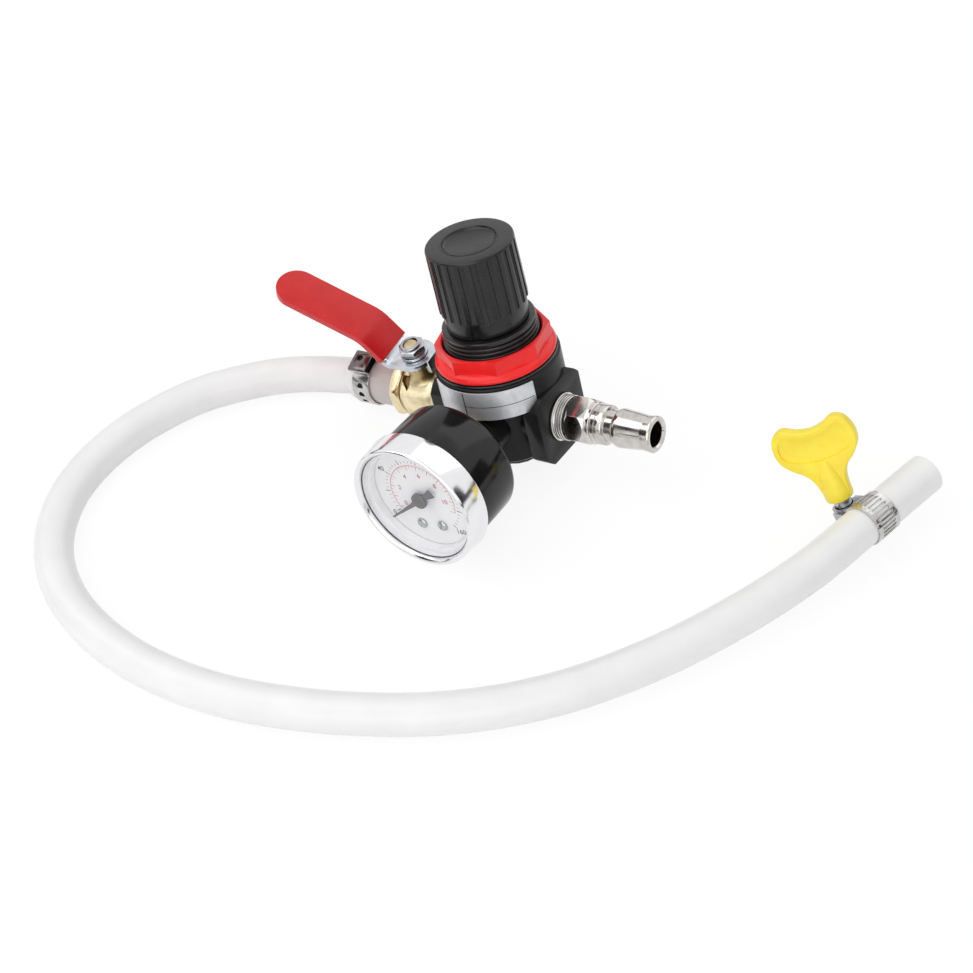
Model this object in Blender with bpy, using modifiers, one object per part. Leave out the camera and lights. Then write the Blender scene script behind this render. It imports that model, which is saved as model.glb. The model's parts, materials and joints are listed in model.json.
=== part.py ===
"""Cooling system pressure tester: an air regulator with a gauge, an air plug, a ball valve and its hose.

The regulator has its own frame: X along its ports towards the air plug, Y towards its back, Z up the knob.
Every length is in metres. The regulator lies on the rim of its gauge, so its frame is tipped by two angles.
"""

import math

import bmesh
import bpy
from mathutils import Matrix, Vector

MM = 0.001
DEGREE = math.pi / 180

# Clearances
GAP = 0.3 * MM
RUNNING_GAP = 0.4 * MM
OVERRUN = 1.0 * MM
NINE_PLACES = 9

# Facets round a circle, by the size of the circle
LARGE_STEPS = 36
MEDIUM_STEPS = 24
SMALL_STEPS = 18
HIDDEN_STEPS = 12
WIRE_STEPS = 10
FACET_TURN = 4.0 * DEGREE

# How the regulator lies
PLUG_RISE = 9.82 * DEGREE
LEAN_BACK = 4.09 * DEGREE
REGULATOR_X = 14.96 * MM
REGULATOR_Y = 17.87 * MM

# Regulator body
DRUM_RADIUS = 20.2 * MM
DRUM_BOTTOM = 8.2 * MM
DRUM_TOP = 19.8 * MM
DRUM_EDGE = 0.6 * MM
HUB_RADIUS = 13.4 * MM
BODY_BOTTOM = -13.2 * MM
PORT_FACE = 20.5 * MM
PLATE_THICKNESS = 5.6 * MM
PLATE_SIDE = 25.0 * MM
PLATE_CORNER_RADIUS = 15.4 * MM
NECK_RADIUS = 9.0 * MM
BOSS_FACE = 18.0 * MM
BOSS_RADIUS = 7.6 * MM
PORT_THREAD_RADIUS = 6.5 * MM
PORT_DEPTH = 10.5 * MM
GAUGE_THREAD_RADIUS = 4.85 * MM
GAUGE_PORT_DEPTH = 9.0 * MM
PASSAGE_RADIUS = 2.2 * MM
GAUGE_PASSAGE_RADIUS = 1.2 * MM
CENTRE_BORE_RADIUS = 4.0 * MM
ORIFICE_RADIUS = 2.6 * MM
ORIFICE_BOTTOM = -5.0 * MM
ORIFICE_TOP = -2.0 * MM
LOWER_BORE_RADIUS = 8.0 * MM
CHAMBER_FLOOR = 9.2 * MM
CHAMBER_RADIUS = 14.2 * MM
LEDGE = 11.2 * MM
TOP_BORE_RADIUS = 16.9 * MM

# Label band, bent round the drum
LABEL_BOTTOM = 9.0 * MM
LABEL_TOP = 19.0 * MM
LABEL_THICKNESS = 0.4 * MM
LABEL_FROM = -128.0 * DEGREE
LABEL_TO = -24.5 * DEGREE
LABEL_STEPS = 22

# Bonnet
FLANGE_RADIUS = 19.7 * MM
FLANGE_THICKNESS = 0.7 * MM
THREAD_RADIUS = 15.5 * MM
NECK_TOP = 33.4 * MM
NECK_EDGE = 0.7 * MM
RIDGE_PITCH = 1.6 * MM
RIDGE_DEPTH = 0.5 * MM
RIDGES = 3
BONNET_STEPS = 30
SPRING_CHAMBER_RADIUS = 11.6 * MM
BONNET_MOUTH_RADIUS = 12.7 * MM
BONNET_MOUTH_DEPTH = 3.4 * MM
CHAMBER_TOP = 31.6 * MM
CROWN_RADIUS = 10.6 * MM
CROWN_HEIGHT = 5.2 * MM

# Panel nut
NUT_WALL = 3.0 * MM
NUT_FLANGE_WIDTH = 1.0 * MM
NUT_FLANGE_RADIUS = THREAD_RADIUS + NUT_WALL + NUT_FLANGE_WIDTH
NUT_FLANGE_HEIGHT = 2.2 * MM
NUT_SIDES = 8
NUT_CORNER_RADIUS = THREAD_RADIUS + NUT_WALL
NUT_TOP = 28.3 * MM
NUT_EDGE = 0.9 * MM
NUT_TURN = -99.0 * DEGREE

# Knob
KNOB_TOP = 61.2 * MM
KNOB_RADIUS = 14.1 * MM
KNOB_TAPER = 0.25 * MM
SKIRT_RADIUS = 13.25 * MM
SKIRT_HEIGHT = 5.9 * MM
GROOVES = 24
KNOB_STEPS = 24
GROOVE_WIDTH = 1.0 * MM
GROOVE_DEPTH = 0.7 * MM
GROOVE_TOP_MARGIN = 1.7 * MM
KNOB_EDGE = 0.8 * MM
KNOB_ROOF = 4.4 * MM
RECESS_RADIUS = 8.7 * MM
RECESS_DEPTH = 0.8 * MM
SOCKET_BOSS_RADIUS = 6.2 * MM
SOCKET_BOSS_BOTTOM = 41.0 * MM
NOTCH_WIDTH = 3.1 * MM
NOTCH_ANGLE = -70.0 * DEGREE
KNOB_LIFT = 3.0 * MM

# Adjusting screw and the spring seat that runs on it
SCREW_RADIUS = 2.9 * MM
SCREW_OVERRUN = 1.4 * MM
SCREW_COLLAR_RADIUS = 6.4 * MM
SCREW_COLLAR_HEIGHT = 2.0 * MM
DRIVE_ACROSS = 7.0 * MM
DRIVE_ENGAGEMENT = 6.0 * MM
SEAT_THICKNESS = 2.3 * MM
SEAT_BOSS_RADIUS = 5.4 * MM
SEAT_BOSS_HEIGHT = 2.2 * MM
SEAT_TRAVEL = 4.5 * MM

# Main spring
MAIN_SPRING_RADIUS = 8.6 * MM
MAIN_WIRE = 1.0 * MM
MAIN_TURNS = 3
TURN_POINTS = 10

# Diaphragm, pressure plate and poppet
RIM_THICKNESS = 1.2 * MM
WEB_THICKNESS = 1.0 * MM
WEB_LIFT = 0.6 * MM
VALVE_STROKE = 1.2 * MM
PLATE_RADIUS = 11.2 * MM
PLATE_HEIGHT = 1.4 * MM
PLATE_BOSS_RADIUS = 6.2 * MM
PLATE_BOSS_HEIGHT = 1.6 * MM
PLATE_HUB_RADIUS = 3.4 * MM
RELIEF_RADIUS = 0.7 * MM
POPPET_RADIUS = 4.6 * MM
POPPET_THICKNESS = 2.2 * MM
POPPET_STEM_RADIUS = 1.3 * MM
POPPET_TAIL_LENGTH = 4.6 * MM

# Bottom cap and the spring in it
CAP_BOTTOM = -17.0 * MM
CAP_RADIUS = 9.5 * MM
CAP_EDGE = 0.8 * MM
CAP_INSERT_TOP = -9.2 * MM
CAP_CAVITY_RADIUS = 5.2 * MM
CAP_FLOOR = 2.2 * MM
CAP_SLOT_WIDTH = 1.6 * MM
CAP_SLOT_DEPTH = 1.0 * MM
O_RING_HEIGHT = 1.5 * MM
O_RING_RADIAL = 1.0 * MM
POPPET_SPRING_RADIUS = 3.2 * MM
POPPET_WIRE = 0.4 * MM
POPPET_TURNS = 4

# Plug in the rear gauge port
REAR_PLUG_HEAD = 3.0 * MM
REAR_PLUG_HEAD_RADIUS = 6.2 * MM
REAR_PLUG_LENGTH = 7.5 * MM
REAR_PLUG_KEY_ACROSS = 5.0 * MM
REAR_PLUG_KEY_DEPTH = 4.0 * MM

# Gauge: heights are measured forward from the regulator's axis, and each piece stands on the one behind it
CASE_BACK = 28.4 * MM
CASE_RADIUS = 20.5 * MM
CASE_WALL = 1.2 * MM
CASE_CORNER = 2.4 * MM
SOCKET_BLOCK_HEIGHT = 8.7 * MM
SOCKET_BLOCK_TOP = CASE_BACK + CASE_WALL + GAP + SOCKET_BLOCK_HEIGHT
MOVEMENT_LEG = 2.4 * MM
MOVEMENT_PLATE_BOTTOM = SOCKET_BLOCK_TOP + MOVEMENT_LEG
MOVEMENT_PLATE_THICKNESS = 1.0 * MM
MOVEMENT_SPACE = 4.0 * MM
MOVEMENT_TOP = MOVEMENT_PLATE_BOTTOM + 2 * MOVEMENT_PLATE_THICKNESS + MOVEMENT_SPACE
DIAL_CLEARANCE = 2.4 * MM
DIAL_HEIGHT = MOVEMENT_TOP + DIAL_CLEARANCE
DIAL_THICKNESS = 0.4 * MM
POINTER_SPACE = 2.7 * MM
CASE_FRONT = DIAL_HEIGHT + DIAL_THICKNESS + POINTER_SPACE
BEZEL_LENGTH = 5.5 * MM
BEZEL_BACK = CASE_FRONT - BEZEL_LENGTH
BEZEL_STEP = 0.4 * MM
CASE_STEP = BEZEL_BACK - BEZEL_STEP
LENS_THICKNESS = 1.4 * MM
BEZEL_LIP = 1.5 * MM
BEZEL_FRONT = CASE_FRONT + LENS_THICKNESS + 2 * GAP + BEZEL_LIP
BEZEL_RADIUS = 22.0 * MM
BEZEL_WALL = 1.8 * MM
BEZEL_EDGE = 1.0 * MM
BEZEL_FACE = 2.5 * MM
WINDOW_RADIUS = BEZEL_RADIUS - BEZEL_FACE
DIAL_RIM_GAP = 0.1 * MM
DIAL_RADIUS = BEZEL_RADIUS - BEZEL_WALL - GAP - CASE_WALL - DIAL_RIM_GAP
DIAL_TURN = 6.4 * DEGREE
DIAL_SCREW_X = 4.0 * MM
DIAL_SCREW_DROP = 10.2 * MM
DIAL_SCREW_HEAD = 1.8 * MM
DIAL_SCREW_HEAD_HEIGHT = 0.8 * MM
DIAL_SCREW_RADIUS = 0.7 * MM
POINTER_REACH = 3.0 * MM
POINTER_LENGTH = DIAL_RADIUS - POINTER_REACH
POINTER_TAIL = 7.0 * MM
POINTER_HUB_RADIUS = 2.7 * MM
POINTER_HUB_HEIGHT = 1.0 * MM
POINTER_THICKNESS = 0.35 * MM
POINTER_TIP_WIDTH = 0.5 * MM
POINTER_ROOT_WIDTH = 1.5 * MM
POINTER_TAIL_WIDTH = 3.0 * MM
POINTER_TURN = 216.4 * DEGREE
SPINDLE_RADIUS = 0.8 * MM
PINION_TEETH = 10
PINION_RADIUS = 1.5 * MM
PINION_ROOT = 1.05 * MM
SECTOR_X = -9.4 * MM
SECTOR_Y = 3.6 * MM
SECTOR_TEETH = 12
SECTOR_PITCH = 5.6 * DEGREE
SECTOR_SWING = 41.0 * DEGREE
SECTOR_TOOTH_DEPTH = 0.5 * MM
TOOTH_SHARES = [(-0.32, 0.0), (-0.14, 1.0), (0.14, 1.0), (0.32, 0.0)]
SECTOR_HUB_RADIUS = 2.0 * MM
SECTOR_TAIL = 4.6 * MM
MOVEMENT_LENGTH = 27.0 * MM
MOVEMENT_WIDTH = 21.0 * MM
MOVEMENT_POST_RADIUS = 1.3 * MM
MOVEMENT_CORNER = 2.0 * MM
GEAR_HEIGHT = 2.0 * MM
SOCKET_ACROSS = 12.0 * MM
SOCKET_BLOCK = 9.0 * MM
TUBE_ARC_RADIUS = 14.4 * MM
TUBE_RADIUS = 1.3 * MM
TUBE_SPACE = 3.7 * MM
TUBE_HEIGHT = CASE_BACK + CASE_WALL + TUBE_SPACE + TUBE_RADIUS
TUBE_FROM = -50.0 * DEGREE
TUBE_TO = 190.0 * DEGREE
TUBE_POINTS = 26

# Air plug: heights are measured along X from the regulator's axis
WASHER_THICKNESS = 0.9 * MM
WASHER_RADIUS = 7.7 * MM
PLUG_ACROSS = 14.0 * MM
PLUG_HEX_TURN = 139.5 * DEGREE
PLUG_HEX_END = 28.2 * MM
PLUG_CHAMFER = 0.9 * MM
PLUG_SHOULDER_END = 33.6 * MM
PLUG_SHOULDER_RADIUS = 6.8 * MM
PLUG_COLLAR_END = 37.8 * MM
PLUG_COLLAR_RADIUS = 6.4 * MM
PLUG_NECK_END = 40.6 * MM
PLUG_NECK_RADIUS = 5.3 * MM
PLUG_NOSE_RADIUS = 6.25 * MM
PLUG_NOSE_SHOULDER = 42.4 * MM
PLUG_NOSE_WAIST = 5.5 * MM
PLUG_NOSE_WAIST_AT = 51.0 * MM
PLUG_LIP_RADIUS = 5.8 * MM
PLUG_END = 54.6 * MM
PLUG_LIP_EDGE = 0.5 * MM
PLUG_BORE_RADIUS = 3.9 * MM
PLUG_BORE_DEPTH = 20.0 * MM
PLUG_INNER_BORE = 2.6 * MM

# Ball valve: heights are measured along -X from the regulator's axis
VALVE_AT = 31.6 * MM
VALVE_NECK_RADIUS = 7.0 * MM
VALVE_NECK_END = 23.4 * MM
BARREL_RADIUS = 8.0 * MM
BARREL_FROM = 25.2 * MM
HEX_FROM = 34.4 * MM
HEX_END = 38.4 * MM
VALVE_ACROSS = 16.8 * MM
VALVE_HEX_TURN = 229.5 * DEGREE
HEX_CHAMFER_RISE = 2.6 * MM
END_COLLAR_LENGTH = 3.9 * MM
END_CHAMFER = 0.5 * MM
BALL_RADIUS = 4.8 * MM
BALL_BORE = 2.6 * MM
CAVITY_RADIUS = 6.0 * MM
CAVITY_FROM = 25.6 * MM
SEAT_BORE = 2.8 * MM
SEAT_FACE_RADIUS = 4.6 * MM
SEAT_LENGTH = 2.9 * MM
SEAT_CONE = 2.0 * MM
BARB_END = 61.6 * MM
BARB_RADIUS = 4.6 * MM
BARB_RIDGE = 5.2 * MM
BARBS = 3
BARB_PITCH = 4.6 * MM
BARB_BORE = 3.1 * MM
STEM_LEAN = 10.0 * DEGREE
STEM_RADIUS = 2.4 * MM
STEM_FOOT = 5.2 * MM
STEM_TOP = 21.1 * MM
TANG_WIDTH = 1.6 * MM
TANG_LENGTH = 3.4 * MM
TANG_DEPTH = 1.5 * MM
STEM_BOSS_RADIUS = 4.9 * MM
STEM_BOSS_TOP = 12.6 * MM
PACKING_RADIUS = 3.7 * MM
PACKING_BOTTOM = 9.4 * MM
PACKING_HEIGHT = 2.0 * MM
GLAND_ACROSS = 8.4 * MM
GLAND_HEIGHT = 1.6 * MM
LEVER_BOTTOM = 15.0 * MM
LEVER_THICKNESS = 1.6 * MM
LEVER_END_RADIUS = 6.9 * MM
LEVER_WIDTH = 11.6 * MM
LEVER_BEND_START = 7.6 * MM
LEVER_RISE_ANGLE = 56.4 * DEGREE
LEVER_RISE_LENGTH = 12.1 * MM
LEVER_GRIP_ANGLE = 24.8 * DEGREE
LEVER_BEND_RADIUS = 3.0 * MM
LEVER_LENGTH = 52.6 * MM
LEVER_STRIDE = 0.25 * MM
ROUND_END_STEPS = 6
STOP_TAB_WIDTH = 5.0 * MM
STOP_TAB_DEPTH = 3.2 * MM
SLEEVE_WIDTH = 14.2 * MM
SLEEVE_THICKNESS = 3.6 * MM
SLEEVE_EDGE = 1.1 * MM
SLEEVE_START = 9.4 * MM
SLEEVE_TIP = 2.6 * MM
LEVER_WASHER_RADIUS = 4.5 * MM
LEVER_WASHER_THICKNESS = 0.8 * MM
LEVER_NUT_ACROSS = 8.0 * MM
LEVER_NUT_TURN = 12.0 * DEGREE
LEVER_NUT_HEIGHT = 2.4 * MM
LEVER_NUT_COLLAR = 1.0 * MM
LEVER_NUT_COLLAR_RADIUS = 3.5 * MM

# Hose
HOSE_RADIUS = 6.25 * MM
HOSE_SWELL = 7.6 * MM
HOSE_STEP = 1.5 * 2 * HOSE_RADIUS
HOSE_STRAIGHT_END = 63.5 * MM
HOSE_SIDES = 3
HOSE_ROUTE = [
    (-53.04, 16.77, 6.75),
    (-60.04, 14.57, 6.35),
    (-71.64, 8.37, 6.30),
    (-83.44, -1.73, 6.30),
    (-92.64, -12.63, 6.30),
    (-99.24, -25.73, 6.30),
    (-103.34, -39.33, 6.30),
    (-104.64, -54.13, 6.30),
    (-102.54, -69.13, 6.30),
    (-96.24, -83.13, 6.30),
    (-87.24, -94.33, 6.30),
    (-76.24, -102.63, 6.30),
    (-64.94, -108.13, 6.30),
    (-53.04, -111.83, 6.30),
    (-39.64, -114.23, 6.30),
    (-24.74, -114.83, 6.30),
    (-8.04, -113.33, 6.30),
    (7.06, -109.93, 6.30),
    (32.36, -100.93, 6.30),
    (57.96, -87.33, 6.30),
    (79.96, -69.63, 6.55),
    (99.06, -46.93, 7.40),
    (114.46, -21.83, 8.50),
    (125.86, 2.47, 9.75),
    (133.86, 27.17, 10.95),
    (141.56, 52.87, 11.50),
]

# Single-ear clamp on the barb
EAR_CLAMP_AT = 55.0 * MM
EAR_CLAMP_WIDTH = 6.8 * MM
EAR_TURN = 23.0 * DEGREE
EAR_BAND_THICKNESS = 0.6 * MM
EAR_WIDTH = 8.0 * MM
EAR_HEIGHT = 3.0 * MM
EAR_STEPS = 32

# Worm clamp with its thumb key, on the hose
KEY_CLAMP_FROM_END = 24.8 * MM
KEY_CLAMP_ROLL = 31.7 * DEGREE
BAND_THICKNESS = 0.7 * MM
BAND_WIDTH = 9.0 * MM
BAND_TAIL = 7.0 * MM
TAIL_GAP = 0.45 * MM
WORM_RADIUS = 2.7 * MM
WORM_BOTTOM = -4.5 * MM
WORM_TOP = 6.4 * MM
HOUSING_HALF_LENGTH = 4.1 * MM
HOUSING_WIDTH = 10.4 * MM
HOUSING_WALL = 0.9 * MM
WORM_HEAD_RADIUS = 3.4 * MM
WORM_HEAD_LENGTH = 2.6 * MM
KEY_TURN = 26.0 * DEGREE
KEY_HEIGHT = 27.2 * MM
KEY_HALF_WIDTH = 14.2 * MM
KEY_THICKNESS = 4.6 * MM
KEY_EDGE = 1.0 * MM
KEY_STEM_THICKNESS = 8.6 * MM
KEY_SOCKET_DEPTH = 3.0 * MM
KEY_PANEL_DEPTH = 0.5 * MM
KEY_OUTLINE_STEP = 2.4 * MM
KEY_OUTLINE_SHARES = [
    (0.00, 0.900),
    (0.30, 0.930),
    (0.62, 1.000),
    (0.88, 0.930),
    (1.00, 0.770),
    (0.93, 0.620),
    (0.72, 0.530),
    (0.50, 0.440),
    (0.39, 0.300),
    (0.36, 0.130),
    (0.35, 0.000),
]
KEY_PANEL_SHARES = [
    (0.00, 0.835),
    (0.35, 0.865),
    (0.62, 0.920),
    (0.80, 0.880),
    (0.87, 0.770),
    (0.78, 0.665),
    (0.45, 0.600),
    (0.00, 0.570),
]
KEY_STEM_SHARES = [
    (0.00, 0.58),
    (0.38, 0.54),
    (0.66, 0.42),
    (1.00, 0.22),
]


def clear_scene():
    for obj in list(bpy.data.objects):
        bpy.data.objects.remove(obj)


def new_collection(name, hidden):
    found = bpy.data.collections.new(name)
    found.hide_render = hidden
    bpy.context.scene.collection.children.link(found)
    return found


def material(name, colour, roughness, metallic=0.0, alpha=1.0):
    made = bpy.data.materials.new(name)
    made.use_nodes = True
    shader = made.node_tree.nodes["Principled BSDF"]
    shader.inputs["Base Color"].default_value = (*colour, 1.0)
    shader.inputs["Roughness"].default_value = roughness
    shader.inputs["Metallic"].default_value = metallic
    shader.inputs["Alpha"].default_value = alpha
    made.diffuse_color = (*colour, alpha)
    return made


clear_scene()
PARTS = new_collection("cooling_system_pressure_tester", False)
CUTTERS = new_collection("cutters", True)

BLACK_CAST = material("black_cast", (0.030, 0.030, 0.033), 0.45)
BLACK_PLASTIC = material("black_plastic", (0.035, 0.035, 0.038), 0.50)
BLACK_ENAMEL = material("black_enamel", (0.030, 0.030, 0.033), 0.22)
RED_PLASTIC = material("red_plastic", (0.75, 0.020, 0.015), 0.25)
RED_VINYL = material("red_vinyl", (0.60, 0.020, 0.030), 0.35)
SILVER_FILM = material("silver_film", (0.72, 0.72, 0.74), 0.30, 0.6)
CHROME = material("chrome", (0.85, 0.85, 0.86), 0.08, 1.0)
NICKEL = material("nickel", (0.72, 0.70, 0.67), 0.15, 1.0)
ZINC = material("zinc_steel", (0.66, 0.69, 0.74), 0.30, 1.0)
STAINLESS = material("stainless", (0.70, 0.70, 0.71), 0.22, 1.0)
SPRING_STEEL = material("spring_steel", (0.45, 0.45, 0.46), 0.35, 1.0)
CAST_BRASS = material("cast_brass", (0.62, 0.47, 0.20), 0.35, 1.0)
TURNED_BRASS = material("turned_brass", (0.72, 0.56, 0.25), 0.22, 1.0)
RUBBER = material("black_rubber", (0.020, 0.020, 0.020), 0.70)
WHITE_RESIN = material("white_resin", (0.85, 0.85, 0.84), 0.40)
CLEAR_LENS = material("clear_lens", (0.95, 0.96, 0.97), 0.03, alpha=0.25)
DIAL_WHITE = material("dial_white", (0.76, 0.75, 0.78), 0.45)
POINTER_GREY = material("pointer_grey", (0.12, 0.12, 0.13), 0.40)
SILICONE = material("silicone", (0.80, 0.80, 0.81), 0.30, alpha=0.9)
YELLOW_PLASTIC = material("yellow_plastic", (0.98, 0.74, 0.05), 0.35)


def link(name, data, finish, parent, at=(0, 0, 0), turn=(0, 0, 0)):
    """Adds an object to the parts, or to the cutters where it has no finish."""
    obj = bpy.data.objects.new(name, data)
    obj.parent = parent
    obj.location = at
    obj.rotation_euler = turn
    if finish is None:
        CUTTERS.objects.link(obj)
        obj.hide_render = True
        obj.display_type = "WIRE"
    else:
        PARTS.objects.link(obj)
        data.materials.append(finish)
    return obj


def axis(name, parent, at=(0, 0, 0), turn=(0, 0, 0)):
    """An empty whose Z is the axis of the pieces parented to it."""
    made = bpy.data.objects.new(name, None)
    made.empty_display_size = 10 * MM
    made.parent = parent
    made.location = at
    made.rotation_euler = turn
    PARTS.objects.link(made)
    return made


def mesh_from(shape, name):
    """Turns a bmesh into mesh data, smooth on its round faces."""
    bmesh.ops.recalc_face_normals(shape, faces=shape.faces)
    data = bpy.data.meshes.new(name)
    shape.to_mesh(data)
    shape.free()
    data.shade_smooth()
    data.set_sharp_from_angle(angle=35 * DEGREE)
    return data


def turned(name, outline, steps, finish, parent, at=(0, 0, 0), turn=(0, 0, 0)):
    """A turned piece: outline holds (radius, height) down its outer side. A ring's outline closes on itself."""
    data = bpy.data.meshes.new(name)
    points = [(radius, 0, height) for radius, height in outline]
    edges = [(i, i + 1) for i in range(len(points) - 1)]
    if outline[0][0] > 0 or outline[-1][0] > 0:
        edges.append((len(points) - 1, 0))
    data.from_pydata(points, edges, [])
    obj = link(name, data, finish, parent, at, turn)
    screw = obj.modifiers.new("turn", "SCREW")
    screw.steps = steps
    screw.render_steps = steps
    screw.use_merge_vertices = True
    screw.merge_threshold = MM / 1000
    screw.use_smooth_shade = True
    return obj


def rod(name, radius, bottom, top, steps, finish, parent, at=(0, 0, 0), turn=(0, 0, 0)):
    outline = [(0, top), (radius, top), (radius, bottom), (0, bottom)]
    return turned(name, outline, steps, finish, parent, at, turn)


def ring(name, inner, outer, bottom, top, steps, finish, parent, at=(0, 0, 0), turn=(0, 0, 0)):
    outline = [(inner, top), (outer, top), (outer, bottom), (inner, bottom)]
    return turned(name, outline, steps, finish, parent, at, turn)


def prism(name, outline, bottom, top, finish, parent, at=(0, 0, 0), turn=(0, 0, 0)):
    """A flat outline of (x, y) points, raised from bottom to top."""
    shape = bmesh.new()
    floor = shape.faces.new([shape.verts.new((x, y, bottom)) for x, y in outline])
    raised = bmesh.ops.extrude_face_region(shape, geom=[floor])["geom"]
    moved = [item for item in raised if isinstance(item, bmesh.types.BMVert)]
    bmesh.ops.translate(shape, verts=moved, vec=(0, 0, top - bottom))
    return link(name, mesh_from(shape, name), finish, parent, at, turn)


def box(name, size, centre, finish, parent, at=(0, 0, 0), turn=(0, 0, 0)):
    shape = bmesh.new()
    bmesh.ops.create_cube(shape, size=1)
    bmesh.ops.scale(shape, vec=size, verts=shape.verts)
    bmesh.ops.translate(shape, vec=centre, verts=shape.verts)
    return link(name, mesh_from(shape, name), finish, parent, at, turn)


def polygon(sides, corner_radius, turn=0.0):
    angles = [turn + 2 * math.pi * i / sides for i in range(sides)]
    return [(corner_radius * math.cos(a), corner_radius * math.sin(a)) for a in angles]


def hexagon(across, turn=0.0):
    return polygon(6, across / math.sqrt(3), turn)


def cut(obj, *cutters):
    for cutter in cutters:
        made = obj.modifiers.new("cut_" + cutter.name, "BOOLEAN")
        made.operation = "DIFFERENCE"
        made.object = cutter


def join(obj, *others):
    for other in others:
        made = obj.modifiers.new("join_" + other.name, "BOOLEAN")
        made.operation = "UNION"
        made.object = other


def keep_inside(obj, other):
    made = obj.modifiers.new("within_" + other.name, "BOOLEAN")
    made.operation = "INTERSECT"
    made.object = other


def round_edges(obj, width, angle=50 * DEGREE, segments=2):
    bevel = obj.modifiers.new("edges", "BEVEL")
    bevel.width = width
    bevel.segments = segments
    bevel.angle_limit = angle
    return obj


def wire(name, points, radii, sides, finish, parent):
    """A round wire or tube along points, as a curve with filled caps."""
    data = bpy.data.curves.new(name, "CURVE")
    data.dimensions = "3D"
    data.use_fill_caps = True
    data.bevel_depth = max(radii)
    data.bevel_resolution = sides
    spline = data.splines.new("POLY")
    spline.points.add(len(points) - 1)
    for point, place, radius in zip(spline.points, points, radii):
        point.co = (*place, 1)
        point.radius = radius / max(radii)
    return link(name, data, finish, parent)


def solid_mesh(obj):
    """Replaces a curve object by a closed mesh, so that it can be cut."""
    bpy.context.view_layer.update()
    graph = bpy.context.evaluated_depsgraph_get()
    data = bpy.data.meshes.new_from_object(obj.evaluated_get(graph))
    shape = bmesh.new()
    shape.from_mesh(data)
    bmesh.ops.remove_doubles(shape, verts=shape.verts, dist=MM / 1000)
    shape.to_mesh(data)
    shape.free()
    name, parent, finish = obj.name, obj.parent, obj.data.materials[0]
    bpy.data.objects.remove(obj)
    data.name = name
    data.materials.clear()
    return link(name, data, finish, parent)


def helix(radius, bottom, top, turns):
    """Points up a coil spring, its wire's middle line."""
    count = turns * TURN_POINTS
    found = []
    for i in range(count + 1):
        angle = 2 * math.pi * turns * i / count
        height = bottom + (top - bottom) * i / count
        found.append((radius * math.cos(angle), radius * math.sin(angle), height))
    return found


def smooth_through(points, step):
    """Even steps along a smooth curve through the points (centripetal Catmull-Rom)."""
    path = [2 * points[0] - points[1], *points, 2 * points[-1] - points[-2]]
    fine = []
    for p0, p1, p2, p3 in zip(path, path[1:], path[2:], path[3:]):
        knots = [0.0]
        for first, second in ((p0, p1), (p1, p2), (p2, p3)):
            knots.append(knots[-1] + math.sqrt((second - first).length))
        k0, k1, k2, k3 = knots
        for i in range(16):
            t = k1 + (k2 - k1) * i / 16
            a1 = p0 * ((k1 - t) / (k1 - k0)) + p1 * ((t - k0) / (k1 - k0))
            a2 = p1 * ((k2 - t) / (k2 - k1)) + p2 * ((t - k1) / (k2 - k1))
            a3 = p2 * ((k3 - t) / (k3 - k2)) + p3 * ((t - k2) / (k3 - k2))
            b1 = a1 * ((k2 - t) / (k2 - k0)) + a2 * ((t - k0) / (k2 - k0))
            b2 = a2 * ((k3 - t) / (k3 - k1)) + a3 * ((t - k1) / (k3 - k1))
            fine.append(b1 * ((k2 - t) / (k2 - k1)) + b2 * ((t - k1) / (k2 - k1)))
    fine.append(points[-1])
    length = sum((b - a).length for a, b in zip(fine, fine[1:]))
    count = max(2, round(length / step))
    even, travelled, index = [fine[0]], 0.0, 0
    for k in range(1, count):
        goal = length * k / count
        while travelled + (fine[index + 1] - fine[index]).length < goal:
            travelled += (fine[index + 1] - fine[index]).length
            index += 1
        share = (goal - travelled) / (fine[index + 1] - fine[index]).length
        even.append(fine[index].lerp(fine[index + 1], share))
    return even + [fine[-1]]


def regulator_height():
    """How high the ports' axis lies when the back edge of the bezel touches the ground."""
    slope = math.sin(LEAN_BACK) * math.cos(PLUG_RISE)
    return BEZEL_RADIUS * math.sqrt(1 - slope**2) - BEZEL_BACK * slope


REGULATOR = axis(
    "regulator_axis",
    None,
    (REGULATOR_X, REGULATOR_Y, regulator_height()),
    (-LEAN_BACK, -PLUG_RISE, 0),
)
GAUGE = axis("gauge_axis", REGULATOR, turn=(90 * DEGREE, 0, 0))
REAR = axis("rear_port_axis", REGULATOR, turn=(-90 * DEGREE, 0, 0))
PLUG = axis("plug_axis", REGULATOR, turn=(0, 90 * DEGREE, 0))
VALVE = axis("valve_axis", REGULATOR, turn=(0, -90 * DEGREE, 0))
STEM = axis("stem_axis", REGULATOR, (-VALVE_AT, 0, 0), (STEM_LEAN, 0, 0))


def port_plate_outline():
    """A square with its corners cut off by an arc."""
    half = PLATE_SIDE / 2
    corner = math.acos(half / PLATE_CORNER_RADIUS)
    points = []
    for quarter in range(4):
        for i in range(4):
            angle = quarter * math.pi / 2 + corner + (math.pi / 2 - 2 * corner) * i / 3
            points.append(
                (PLATE_CORNER_RADIUS * math.cos(angle), PLATE_CORNER_RADIUS * math.sin(angle))
            )
    return points


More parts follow.
